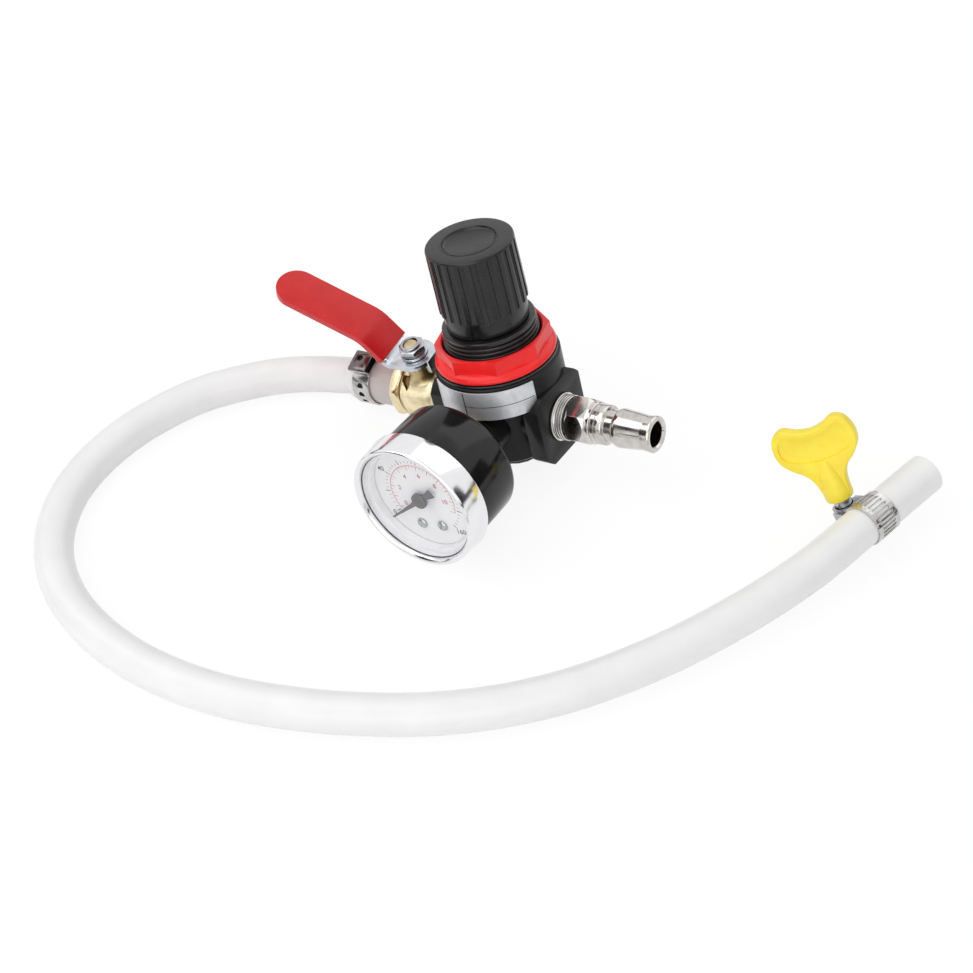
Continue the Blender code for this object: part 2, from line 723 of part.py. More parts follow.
def regulator_body():
    drum = [
        (0, DRUM_TOP),
        (DRUM_RADIUS - DRUM_EDGE, DRUM_TOP),
        (DRUM_RADIUS, DRUM_TOP - DRUM_EDGE),
        (DRUM_RADIUS, DRUM_BOTTOM + DRUM_EDGE),
        (DRUM_RADIUS - DRUM_EDGE, DRUM_BOTTOM),
        (HUB_RADIUS, DRUM_BOTTOM - DRUM_EDGE),
        (HUB_RADIUS, BODY_BOTTOM + DRUM_EDGE),
        (HUB_RADIUS - DRUM_EDGE, BODY_BOTTOM),
        (0, BODY_BOTTOM),
    ]
    body = turned("regulator_body", drum, LARGE_STEPS, BLACK_CAST, REGULATOR)
    plate_back = PORT_FACE - PLATE_THICKNESS
    thread = PORT_THREAD_RADIUS + GAP
    gauge_thread = GAUGE_THREAD_RADIUS + GAP
    for side, frame in (("plug", PLUG), ("valve", VALVE)):
        plate = prism(f"plate_{side}", port_plate_outline(), plate_back, PORT_FACE, None, frame)
        neck = rod(f"neck_{side}", NECK_RADIUS, 0, plate_back + DRUM_EDGE, SMALL_STEPS, None, frame)
        join(body, plate, neck)
    for side, frame in (("front", GAUGE), ("rear", REAR)):
        boss = rod(f"boss_{side}", BOSS_RADIUS, 0, BOSS_FACE, SMALL_STEPS, None, frame)
        join(body, boss)
    above = DRUM_TOP + OVERRUN
    chamber = turned(
        "diaphragm_chamber",
        [
            (0, above),
            (TOP_BORE_RADIUS, above),
            (TOP_BORE_RADIUS, LEDGE),
            (CHAMBER_RADIUS, LEDGE),
            (CHAMBER_RADIUS, CHAMBER_FLOOR),
            (CENTRE_BORE_RADIUS, CHAMBER_FLOOR),
            (CENTRE_BORE_RADIUS, ORIFICE_TOP),
            (ORIFICE_RADIUS, ORIFICE_TOP),
            (ORIFICE_RADIUS, ORIFICE_BOTTOM),
            (LOWER_BORE_RADIUS, ORIFICE_BOTTOM),
            (LOWER_BORE_RADIUS, BODY_BOTTOM - OVERRUN),
            (0, BODY_BOTTOM - OVERRUN),
        ],
        MEDIUM_STEPS,
        None,
        REGULATOR,
        turn=(0, 0, FACET_TURN),
    )
    gauge_floor = BOSS_FACE - GAUGE_PORT_DEPTH
    gauge_bore = turned(
        "gauge_bore",
        [
            (0, BOSS_FACE + OVERRUN),
            (gauge_thread, BOSS_FACE + OVERRUN),
            (gauge_thread, gauge_floor),
            (GAUGE_PASSAGE_RADIUS, gauge_floor),
            (GAUGE_PASSAGE_RADIUS, -gauge_floor),
            (gauge_thread, -gauge_floor),
            (gauge_thread, -BOSS_FACE - OVERRUN),
            (0, -BOSS_FACE - OVERRUN),
        ],
        HIDDEN_STEPS,
        None,
        axis("gauge_bore_axis", GAUGE, turn=(0, 0, FACET_TURN)),
    )
    cut(body, chamber, gauge_bore)
    port_floor = PORT_FACE - PORT_DEPTH
    for side, frame in (("plug", PLUG), ("valve", VALVE)):
        bore = rod(
            f"port_{side}", thread, port_floor, PORT_FACE + OVERRUN, SMALL_STEPS, None, frame
        )
        cut(body, bore)
    reach = (port_floor + LOWER_BORE_RADIUS) / 2
    inlet = rod(
        "inlet_passage",
        PASSAGE_RADIUS,
        CAP_INSERT_TOP,
        0,
        WIRE_STEPS,
        None,
        REGULATOR,
        (reach, 0, 0),
    )
    outlet = rod(
        "outlet_passage",
        PASSAGE_RADIUS,
        0,
        CHAMBER_FLOOR + OVERRUN,
        WIRE_STEPS,
        None,
        REGULATOR,
        (-reach, 0, 0),
    )
    cut(body, inlet, outlet)
    cut(body, label_shape("label_pocket", GAP, -GAP, None))


def label_shape(name, margin, sink, finish):
    """A band bent round the drum. The pocket has a margin and lies deeper than the band."""
    inner = DRUM_RADIUS + sink
    outer = inner + LABEL_THICKNESS + (OVERRUN if finish is None else 0)
    spread = margin / DRUM_RADIUS
    angles = [
        LABEL_FROM - spread + (LABEL_TO - LABEL_FROM + 2 * spread) * i / LABEL_STEPS
        for i in range(LABEL_STEPS + 1)
    ]
    outline = [(outer * math.cos(a), outer * math.sin(a)) for a in angles]
    outline += [(inner * math.cos(a), inner * math.sin(a)) for a in reversed(angles)]
    return prism(name, outline, LABEL_BOTTOM - margin, LABEL_TOP + margin, finish, REGULATOR)


def bonnet():
    flange_bottom = DRUM_TOP + GAP
    flange_top = flange_bottom + FLANGE_THICKNESS
    sleeve_radius = TOP_BORE_RADIUS - GAP
    sleeve_bottom = LEDGE + GAP + RIM_THICKNESS + GAP
    hole = SCREW_RADIUS + GAP
    crown_top = NECK_TOP + CROWN_HEIGHT
    outline = [
        (hole, crown_top),
        (CROWN_RADIUS - NECK_EDGE, crown_top),
        (CROWN_RADIUS, crown_top - NECK_EDGE),
        (CROWN_RADIUS, NECK_TOP),
        (THREAD_RADIUS - NECK_EDGE, NECK_TOP),
    ]
    for i in range(RIDGES):
        top = NECK_TOP - NECK_EDGE - i * RIDGE_PITCH
        outline += [
            (THREAD_RADIUS, top),
            (THREAD_RADIUS, top - RIDGE_PITCH / 2),
            (THREAD_RADIUS - RIDGE_DEPTH, top - RIDGE_PITCH + RIDGE_DEPTH / 2),
        ]
    thread_top = NECK_TOP - NECK_EDGE - RIDGES * RIDGE_PITCH
    outline += [
        (THREAD_RADIUS, thread_top),
        (THREAD_RADIUS, flange_top),
        (FLANGE_RADIUS, flange_top),
        (FLANGE_RADIUS, flange_bottom),
        (sleeve_radius, flange_bottom),
        (sleeve_radius, sleeve_bottom),
        (BONNET_MOUTH_RADIUS, sleeve_bottom),
        (BONNET_MOUTH_RADIUS, sleeve_bottom + BONNET_MOUTH_DEPTH),
        (SPRING_CHAMBER_RADIUS, sleeve_bottom + BONNET_MOUTH_DEPTH),
        (SPRING_CHAMBER_RADIUS, CHAMBER_TOP),
        (hole, CHAMBER_TOP),
    ]
    turned("bonnet", outline, BONNET_STEPS, BLACK_PLASTIC, REGULATOR)


def panel_nut():
    bottom = DRUM_TOP + 2 * GAP + FLANGE_THICKNESS
    flange_top = bottom + NUT_FLANGE_HEIGHT
    slope = NUT_CORNER_RADIUS * math.cos(math.pi / NUT_SIDES)
    outline = [
        (0, flange_top + NUT_EDGE),
        (slope, flange_top + NUT_EDGE),
        (NUT_FLANGE_RADIUS - NUT_EDGE / 2, flange_top),
        (NUT_FLANGE_RADIUS, flange_top - NUT_EDGE),
        (NUT_FLANGE_RADIUS, bottom + NUT_EDGE / 2),
        (NUT_FLANGE_RADIUS - NUT_EDGE / 2, bottom),
        (0, bottom),
    ]
    nut = turned("panel_nut", outline, LARGE_STEPS, RED_PLASTIC, REGULATOR)
    octagon = prism(
        "nut_octagon",
        polygon(NUT_SIDES, NUT_CORNER_RADIUS, NUT_TURN),
        flange_top - NUT_EDGE,
        NUT_TOP,
        None,
        REGULATOR,
    )
    round_edges(octagon, NUT_EDGE, angle=40 * DEGREE)
    join(nut, octagon)
    bore = THREAD_RADIUS + GAP
    mouth = turned(
        "nut_bore",
        [
            (0, NUT_TOP + OVERRUN),
            (bore + NUT_EDGE + OVERRUN, NUT_TOP + OVERRUN),
            (bore, NUT_TOP - NUT_EDGE),
            (bore, bottom - OVERRUN),
            (0, bottom - OVERRUN),
        ],
        BONNET_STEPS,
        None,
        REGULATOR,
    )
    cut(nut, mouth)


def knob():
    frame = axis("knob_axis", REGULATOR, (0, 0, NECK_TOP))
    bottom = GAP
    top = KNOB_TOP - NECK_TOP
    rib_bottom = bottom + SKIRT_HEIGHT
    roof = top - KNOB_ROOF
    cavity = CROWN_RADIUS + RUNNING_GAP
    boss_bottom = SOCKET_BOSS_BOTTOM - NECK_TOP
    top_radius = KNOB_RADIUS - KNOB_TAPER
    outline = [
        (0, top - RECESS_DEPTH),
        (RECESS_RADIUS - RECESS_DEPTH, top - RECESS_DEPTH),
        (RECESS_RADIUS, top),
        (top_radius - KNOB_EDGE, top),
        (top_radius - KNOB_EDGE / 4, top - KNOB_EDGE / 4),
        (top_radius, top - KNOB_EDGE),
        (KNOB_RADIUS, rib_bottom + KNOB_EDGE / 2),
        (KNOB_RADIUS - KNOB_EDGE / 4, rib_bottom),
        (SKIRT_RADIUS, rib_bottom),
        (SKIRT_RADIUS, bottom + KNOB_EDGE / 2),
        (SKIRT_RADIUS - KNOB_EDGE / 2, bottom),
        (cavity, bottom),
        (cavity, roof),
        (SOCKET_BOSS_RADIUS, roof),
        (SOCKET_BOSS_RADIUS, boss_bottom),
        (0, boss_bottom),
    ]
    made = turned("knob", outline, KNOB_STEPS, BLACK_PLASTIC, frame)
    grooves = bmesh.new()
    groove_top = top - GROOVE_TOP_MARGIN
    reach = GROOVE_DEPTH + OVERRUN
    for i in range(GROOVES):
        bar = bmesh.ops.create_cube(grooves, size=1)["verts"]
        bmesh.ops.scale(grooves, vec=(reach, GROOVE_WIDTH, groove_top - rib_bottom + OVERRUN), verts=bar)
        middle = (groove_top + rib_bottom - OVERRUN) / 2
        place = Matrix.Rotation(2 * math.pi * (i + 0.5) / GROOVES, 4, "Z")
        place @= Matrix.Translation((KNOB_RADIUS - GROOVE_DEPTH + reach / 2, 0, middle))
        bmesh.ops.transform(grooves, matrix=place, verts=bar)
    pattern = link("knob_grooves", mesh_from(grooves, "knob_grooves"), None, frame)
    notch = box(
        "skirt_notch",
        (2 * OVERRUN + SKIRT_RADIUS - cavity, NOTCH_WIDTH, SKIRT_HEIGHT + OVERRUN),
        ((SKIRT_RADIUS + cavity) / 2, 0, bottom + (SKIRT_HEIGHT - KNOB_EDGE - OVERRUN) / 2),
        None,
        frame,
        turn=(0, 0, NOTCH_ANGLE),
    )
    drive = prism(
        "knob_drive",
        hexagon(DRIVE_ACROSS + 2 * GAP),
        boss_bottom - OVERRUN,
        roof + RECESS_DEPTH,
        None,
        frame,
    )
    cut(made, pattern, notch, drive)


def adjusting_screw():
    frame = axis("screw_axis", REGULATOR, (0, 0, NECK_TOP))
    collar_top = CHAMBER_TOP - GAP - NECK_TOP
    outline = [
        (0, GAP),
        (SCREW_RADIUS, GAP),
        (SCREW_RADIUS, collar_top),
        (SCREW_COLLAR_RADIUS, collar_top),
        (SCREW_COLLAR_RADIUS, collar_top - SCREW_COLLAR_HEIGHT),
        (SCREW_RADIUS, collar_top - SCREW_COLLAR_HEIGHT),
        (SCREW_RADIUS, screw_bottom() - NECK_TOP),
        (0, screw_bottom() - NECK_TOP),
    ]
    screw = turned("adjusting_screw", outline, SMALL_STEPS, TURNED_BRASS, frame)
    shank = rod(
        "screw_shank", SCREW_RADIUS, 0, CROWN_HEIGHT + 2 * GAP, SMALL_STEPS, None, frame
    )
    drive = prism(
        "screw_drive",
        hexagon(DRIVE_ACROSS),
        CROWN_HEIGHT + GAP,
        SOCKET_BOSS_BOTTOM + KNOB_LIFT + DRIVE_ENGAGEMENT - NECK_TOP,
        None,
        frame,
    )
    join(screw, shank, drive)


def seat_top():
    return CHAMBER_TOP - 2 * GAP - SCREW_COLLAR_HEIGHT


def screw_bottom():
    """The thread runs past the spring seat's lowest place."""
    seat_bottom = seat_top() - SEAT_THICKNESS - SEAT_BOSS_HEIGHT
    return seat_bottom - SEAT_TRAVEL - SCREW_OVERRUN


def spring_seat():
    top = seat_top()
    bore = SCREW_RADIUS + GAP
    outer = SPRING_CHAMBER_RADIUS - RUNNING_GAP
    outline = [
        (bore, top),
        (outer, top),
        (outer, top - SEAT_THICKNESS),
        (SEAT_BOSS_RADIUS, top - SEAT_THICKNESS),
        (SEAT_BOSS_RADIUS, top - SEAT_THICKNESS - SEAT_BOSS_HEIGHT),
        (bore, top - SEAT_THICKNESS - SEAT_BOSS_HEIGHT),
    ]
    turned("spring_seat", outline, SMALL_STEPS, ZINC, REGULATOR)


def web_bottom():
    return CHAMBER_FLOOR + WEB_LIFT


def plate_bottom():
    return web_bottom() + WEB_THICKNESS + VALVE_STROKE + GAP


def main_spring():
    bottom = plate_bottom() + PLATE_HEIGHT + GAP + MAIN_WIRE
    top = seat_top() - SEAT_THICKNESS - GAP - MAIN_WIRE
    points = helix(MAIN_SPRING_RADIUS, bottom, top, MAIN_TURNS)
    wire("main_spring", points, [MAIN_WIRE] * len(points), 1, SPRING_STEEL, REGULATOR)


def diaphragm():
    rim_bottom = LEDGE + GAP
    rim_top = rim_bottom + RIM_THICKNESS
    outer = TOP_BORE_RADIUS - GAP
    step = CHAMBER_RADIUS - GAP
    hole = PLATE_HUB_RADIUS + RUNNING_GAP
    low = web_bottom()
    outline = [
        (step - 2 * WEB_THICKNESS, rim_top),
        (outer, rim_top),
        (outer, rim_bottom),
        (step, rim_bottom),
        (step - WEB_THICKNESS / 2, low),
        (hole, low),
        (hole, low + WEB_THICKNESS),
        (step - 3 * WEB_THICKNESS / 2, low + WEB_THICKNESS),
    ]
    turned("diaphragm", outline, SMALL_STEPS, RUBBER, REGULATOR)


def pressure_plate():
    bottom = plate_bottom()
    top = bottom + PLATE_HEIGHT
    boss_top = top + PLATE_BOSS_HEIGHT
    outline = [
        (RELIEF_RADIUS, boss_top),
        (PLATE_BOSS_RADIUS, boss_top),
        (PLATE_BOSS_RADIUS, top),
        (PLATE_RADIUS, top),
        (PLATE_RADIUS, bottom),
        (PLATE_HUB_RADIUS, bottom),
        (PLATE_HUB_RADIUS, web_bottom()),
        (RELIEF_RADIUS, web_bottom()),
    ]
    turned("pressure_plate", outline, SMALL_STEPS, ZINC, REGULATOR)


def poppet():
    top = ORIFICE_BOTTOM - GAP
    bottom = top - POPPET_THICKNESS
    outline = [
        (0, web_bottom() - GAP),
        (POPPET_STEM_RADIUS, web_bottom() - GAP),
        (POPPET_STEM_RADIUS, top),
        (POPPET_RADIUS, top),
        (POPPET_RADIUS, bottom),
        (POPPET_STEM_RADIUS, bottom),
        (POPPET_STEM_RADIUS, bottom - POPPET_TAIL_LENGTH),
        (0, bottom - POPPET_TAIL_LENGTH),
    ]
    turned("poppet", outline, HIDDEN_STEPS, TURNED_BRASS, REGULATOR)


def cap_floor():
    return CAP_BOTTOM + CAP_FLOOR


def poppet_spring():
    bottom = cap_floor() + GAP + POPPET_WIRE
    top = ORIFICE_BOTTOM - 2 * GAP - POPPET_THICKNESS - POPPET_WIRE
    points = helix(POPPET_SPRING_RADIUS, bottom, top, POPPET_TURNS)
    wire("poppet_spring", points, [POPPET_WIRE] * len(points), 1, SPRING_STEEL, REGULATOR)


def o_ring_middle():
    return (CAP_INSERT_TOP + BODY_BOTTOM) / 2


def bottom_cap():
    insert = LOWER_BORE_RADIUS - GAP
    seat = BODY_BOTTOM - GAP
    groove_low = o_ring_middle() - O_RING_HEIGHT / 2 - GAP
    groove_high = o_ring_middle() + O_RING_HEIGHT / 2 + GAP
    groove_radius = insert - O_RING_RADIAL - GAP
    outline = [
        (0, cap_floor()),
        (CAP_CAVITY_RADIUS, cap_floor()),
        (CAP_CAVITY_RADIUS, CAP_INSERT_TOP),
        (insert, CAP_INSERT_TOP),
        (insert, groove_high),
        (groove_radius, groove_high),
        (groove_radius, groove_low),
        (insert, groove_low),
        (insert, seat),
        (CAP_RADIUS, seat),
        (CAP_RADIUS, CAP_BOTTOM + CAP_EDGE),
        (CAP_RADIUS - CAP_EDGE, CAP_BOTTOM),
        (0, CAP_BOTTOM),
    ]
    cap = turned("bottom_cap", outline, SMALL_STEPS, BLACK_PLASTIC, REGULATOR)
    slot = box(
        "cap_slot",
        (2 * CAP_RADIUS + OVERRUN, CAP_SLOT_WIDTH, 2 * CAP_SLOT_DEPTH),
        (0, 0, CAP_BOTTOM),
        None,
        REGULATOR,
    )
    cut(cap, slot)
    ring(
        "cap_o_ring",
        groove_radius + GAP,
        insert - GAP / 2,
        o_ring_middle() - O_RING_HEIGHT / 2,
        o_ring_middle() + O_RING_HEIGHT / 2,
        SMALL_STEPS,
        RUBBER,
        REGULATOR,
    )


def rear_port_plug():
    head_bottom = BOSS_FACE + GAP
    top = head_bottom + REAR_PLUG_HEAD
    outline = [
        (0, top),
        (REAR_PLUG_HEAD_RADIUS - CAP_EDGE, top),
        (REAR_PLUG_HEAD_RADIUS, top - CAP_EDGE),
        (REAR_PLUG_HEAD_RADIUS, head_bottom),
        (GAUGE_THREAD_RADIUS, head_bottom),
        (GAUGE_THREAD_RADIUS, BOSS_FACE - REAR_PLUG_LENGTH),
        (0, BOSS_FACE - REAR_PLUG_LENGTH),
    ]
    plug = turned("rear_port_plug", outline, SMALL_STEPS, ZINC, REAR)
    key = prism(
        "rear_plug_key",
        hexagon(REAR_PLUG_KEY_ACROSS),
        top - REAR_PLUG_KEY_DEPTH,
        top + OVERRUN,
        None,
        REAR,
    )
    cut(plug, key)


def gauge_case():
    hole = GAUGE_THREAD_RADIUS + GAP
    inner = CASE_RADIUS - CASE_WALL
    neck = BEZEL_RADIUS - BEZEL_WALL - GAP
    floor = CASE_BACK + CASE_WALL
    outline = [
        (neck - CASE_WALL, CASE_FRONT),
        (neck, CASE_FRONT),
        (neck, CASE_STEP + CASE_WALL / 2),
        (CASE_RADIUS, CASE_STEP),
    ]
    for i in range(4):
        angle = i * math.pi / 6
        outline.append(
            (
                CASE_RADIUS - CASE_CORNER * (1 - math.cos(angle)),
                CASE_BACK + CASE_CORNER * (1 - math.sin(angle)),
            )
        )
    outline += [
        (hole, CASE_BACK),
        (hole, floor),
        (inner - CASE_CORNER, floor),
        (inner, floor + CASE_CORNER),
        (inner, CASE_STEP - CASE_WALL),
        (neck - CASE_WALL, CASE_STEP + CASE_WALL / 2),
    ]
    turned("gauge_case", outline, LARGE_STEPS, BLACK_ENAMEL, GAUGE)


def gauge_bezel():
    inner = BEZEL_RADIUS - BEZEL_WALL
    lip = CASE_FRONT + LENS_THICKNESS + 2 * GAP
    middle = (BEZEL_RADIUS + WINDOW_RADIUS) / 2
    outline = [
        (WINDOW_RADIUS, lip),
        (WINDOW_RADIUS + BEZEL_EDGE / 2, BEZEL_FRONT - BEZEL_EDGE / 2),
        (middle - BEZEL_EDGE / 4, BEZEL_FRONT),
        (middle + BEZEL_EDGE / 4, BEZEL_FRONT),
    ]
    for i in range(1, 4):
        angle = i * math.pi / 6
        outline.append(
            (
                BEZEL_RADIUS - BEZEL_EDGE * (1 - math.sin(angle)),
                BEZEL_FRONT - BEZEL_EDGE * (1 - math.cos(angle)),
            )
        )
    outline += [
        (BEZEL_RADIUS, BEZEL_BACK + BEZEL_EDGE / 4),
        (BEZEL_RADIUS - BEZEL_EDGE / 4, BEZEL_BACK),
        (inner, BEZEL_BACK),
        (inner, lip),
    ]
    turned("gauge_bezel", outline, LARGE_STEPS, CHROME, GAUGE)


def gauge_lens():
    radius = BEZEL_RADIUS - BEZEL_WALL - GAP
    bottom = CASE_FRONT + GAP
    rod("gauge_lens", radius, bottom, bottom + LENS_THICKNESS, LARGE_STEPS, CLEAR_LENS, GAUGE)


def gauge_dial():
    top = DIAL_HEIGHT + DIAL_THICKNESS
    hole = SPINDLE_RADIUS + RUNNING_GAP
    dial = ring("gauge_dial", hole, DIAL_RADIUS, DIAL_HEIGHT, top, LARGE_STEPS, DIAL_WHITE, GAUGE)
    face = axis("dial_axis", GAUGE, turn=(0, 0, DIAL_TURN))
    for side, x in (("left", -DIAL_SCREW_X), ("right", DIAL_SCREW_X)):
        place = (x, -DIAL_SCREW_DROP, 0)
        radius = DIAL_SCREW_RADIUS + GAP
        hole = rod(
            f"dial_hole_{side}",
            radius,
            DIAL_HEIGHT - OVERRUN,
            top + OVERRUN,
            WIRE_STEPS,
            None,
            face,
            place,
        )
        cut(dial, hole)
        head = top + GAP
        outline = [
            (0, head + DIAL_SCREW_HEAD_HEIGHT),
            (DIAL_SCREW_HEAD - DIAL_SCREW_HEAD_HEIGHT / 2, head + DIAL_SCREW_HEAD_HEIGHT),
            (DIAL_SCREW_HEAD, head + DIAL_SCREW_HEAD_HEIGHT / 2),
            (DIAL_SCREW_HEAD, head),
            (DIAL_SCREW_RADIUS, head),
            (DIAL_SCREW_RADIUS, MOVEMENT_TOP + GAP),
            (0, MOVEMENT_TOP + GAP),
        ]
        turned(f"dial_screw_{side}", outline, SMALL_STEPS, NICKEL, face, place)


def gauge_pointer():
    frame = axis("pointer_axis", GAUGE, turn=(0, 0, POINTER_TURN))
    bottom = DIAL_HEIGHT + DIAL_THICKNESS + 2 * GAP + DIAL_SCREW_HEAD_HEIGHT
    top = bottom + POINTER_HUB_HEIGHT
    blade = bottom + GAP
    hub = rod("gauge_pointer", POINTER_HUB_RADIUS, bottom, top, SMALL_STEPS, POINTER_GREY, frame)
    outline = [
        (POINTER_LENGTH, -POINTER_TIP_WIDTH / 2),
        (POINTER_LENGTH, POINTER_TIP_WIDTH / 2),
        (0, POINTER_ROOT_WIDTH / 2),
        (-POINTER_TAIL, POINTER_TAIL_WIDTH / 2),
        (-POINTER_TAIL, -POINTER_TAIL_WIDTH / 2),
        (0, -POINTER_ROOT_WIDTH / 2),
    ]
    arm = prism("pointer_arm", outline, blade, blade + POINTER_THICKNESS, None, frame)
    join(hub, arm)
    bore = SPINDLE_RADIUS + GAP / 2
    hole = rod("pointer_hole", bore, bottom - OVERRUN, top + OVERRUN, WIRE_STEPS, None, frame)
    cut(hub, hole)
    gear_low = MOVEMENT_PLATE_BOTTOM + MOVEMENT_PLATE_THICKNESS + (MOVEMENT_SPACE - GEAR_HEIGHT) / 2
    spindle = rod(
        "gauge_pinion", SPINDLE_RADIUS, MOVEMENT_PLATE_BOTTOM, top, WIRE_STEPS, TURNED_BRASS, frame
    )
    teeth = prism(
        "pinion_teeth",
        toothed_outline(PINION_TEETH, PINION_RADIUS, PINION_ROOT),
        gear_low,
        gear_low + GEAR_HEIGHT,
        None,
        frame,
    )
    join(spindle, teeth)


def toothed_outline(teeth, tip, root):
    points = []
    for i in range(teeth):
        for across, rise in TOOTH_SHARES:
            angle = 2 * math.pi * (i + across) / teeth
            radius = root + (tip - root) * rise
            points.append((radius * math.cos(angle), radius * math.sin(angle)))
    return points


def gauge_sector():
    """A toothed sector on its own arbor, its tips just clear of the pinion's, at the start of its swing."""
    frame = axis("sector_axis", GAUGE, (SECTOR_X, SECTOR_Y, 0))
    low = MOVEMENT_PLATE_BOTTOM + MOVEMENT_PLATE_THICKNESS + (MOVEMENT_SPACE - GEAR_HEIGHT) / 2
    tip = math.hypot(SECTOR_X, SECTOR_Y) - PINION_RADIUS - GAP
    root = tip - SECTOR_TOOTH_DEPTH
    middle = math.atan2(-SECTOR_Y, -SECTOR_X) - SECTOR_SWING / 2
    outline = [(-SECTOR_TAIL * math.cos(middle), -SECTOR_TAIL * math.sin(middle))]
    side = math.pi / 2
    outline.append(
        (SECTOR_HUB_RADIUS * math.cos(middle - side), SECTOR_HUB_RADIUS * math.sin(middle - side))
    )
    for i in range(SECTOR_TEETH):
        for across, rise in TOOTH_SHARES:
            angle = middle + (i - (SECTOR_TEETH - 1) / 2 + across) * SECTOR_PITCH
            radius = root + SECTOR_TOOTH_DEPTH * rise
            outline.append((radius * math.cos(angle), radius * math.sin(angle)))
    outline.append(
        (SECTOR_HUB_RADIUS * math.cos(middle + side), SECTOR_HUB_RADIUS * math.sin(middle + side))
    )
    sector = prism("gauge_sector", outline, low, low + GEAR_HEIGHT, TURNED_BRASS, frame)
    arbor = rod(
        "sector_arbor", SPINDLE_RADIUS, MOVEMENT_PLATE_BOTTOM, MOVEMENT_TOP, WIRE_STEPS, None, frame
    )
    join(sector, arbor)


def movement_frame():
    """Two plates on four posts, standing on the socket's block."""
    half_length = MOVEMENT_LENGTH / 2
    half_width = MOVEMENT_WIDTH / 2
    top = MOVEMENT_TOP
    corner = MOVEMENT_CORNER
    plate = [
        (-half_length, -half_width + corner),
        (-half_length + corner, -half_width),
        (half_length - corner, -half_width),
        (half_length, -half_width + corner),
        (half_length, half_width - corner),
        (half_length - corner, half_width),
        (-half_length + corner, half_width),
        (-half_length, half_width - corner),
    ]
    thickness = MOVEMENT_PLATE_THICKNESS
    low = MOVEMENT_PLATE_BOTTOM
    made = prism("movement_frame", plate, low, low + thickness, TURNED_BRASS, GAUGE)
    cover = prism("movement_cover", plate, top - thickness, top, None, GAUGE)
    join(made, cover)
    for i, (sx, sy) in enumerate(((-1, -1), (1, -1), (1, 1), (-1, 1))):
        place = (sx * (half_length - corner), sy * (half_width - corner), 0)
        post = rod(
            f"movement_post_{i}",
            MOVEMENT_POST_RADIUS,
            low + thickness / 2,
            top - thickness / 2,
            WIRE_STEPS,
            None,
            GAUGE,
            place,
        )
        join(made, post)
    foot = SOCKET_BLOCK / 2 - MOVEMENT_POST_RADIUS
    for i, sign in enumerate((-1, 1)):
        leg = rod(
            f"movement_leg_{i}",
            MOVEMENT_POST_RADIUS,
            SOCKET_BLOCK_TOP + GAP,
            low + thickness / 2,
            WIRE_STEPS,
            None,
            GAUGE,
            (sign * foot, -foot, 0),
        )
        join(made, leg)
    for name, x, y in (("spindle", 0, 0), ("arbor", SECTOR_X, SECTOR_Y)):
        hole = rod(
            f"movement_hole_{name}",
            SPINDLE_RADIUS + GAP,
            low - OVERRUN,
            top + OVERRUN,
            WIRE_STEPS,
            None,
            GAUGE,
            (x, y, 0),
        )
        cut(made, hole)


def gauge_socket():
    tip = BOSS_FACE - GAUGE_PORT_DEPTH + GAP
    shoulder = CASE_BACK - GAP
    inside = CASE_BACK + CASE_WALL + GAP
    socket = rod(
        "gauge_socket", GAUGE_THREAD_RADIUS, tip, inside + OVERRUN, SMALL_STEPS, TURNED_BRASS, GAUGE
    )
    nut = prism("socket_hexagon", hexagon(SOCKET_ACROSS), BOSS_FACE + GAP, shoulder, None, GAUGE)
    block = box(
        "socket_block",
        (SOCKET_BLOCK, SOCKET_BLOCK, SOCKET_BLOCK_TOP - inside),
        (0, 0, (SOCKET_BLOCK_TOP + inside) / 2),
        None,
        GAUGE,
    )
    join(socket, nut, block)
    bore = rod(
        "socket_bore", GAUGE_PASSAGE_RADIUS, tip - OVERRUN, TUBE_HEIGHT, WIRE_STEPS, None, GAUGE
    )
    cut(socket, bore)


def bourdon_tube():
    start = Vector((SOCKET_BLOCK / 2 + GAP, -SOCKET_BLOCK / 4, TUBE_HEIGHT))
    points = [start, start + Vector((2 * TUBE_RADIUS, -TUBE_RADIUS / 2, 0))]
    for i in range(TUBE_POINTS):
        angle = TUBE_FROM + (TUBE_TO - TUBE_FROM) * i / (TUBE_POINTS - 1)
        points.append(
            Vector((TUBE_ARC_RADIUS * math.cos(angle), TUBE_ARC_RADIUS * math.sin(angle), TUBE_HEIGHT))
        )
    wire("bourdon_tube", points, [TUBE_RADIUS] * len(points), 1, TURNED_BRASS, GAUGE)


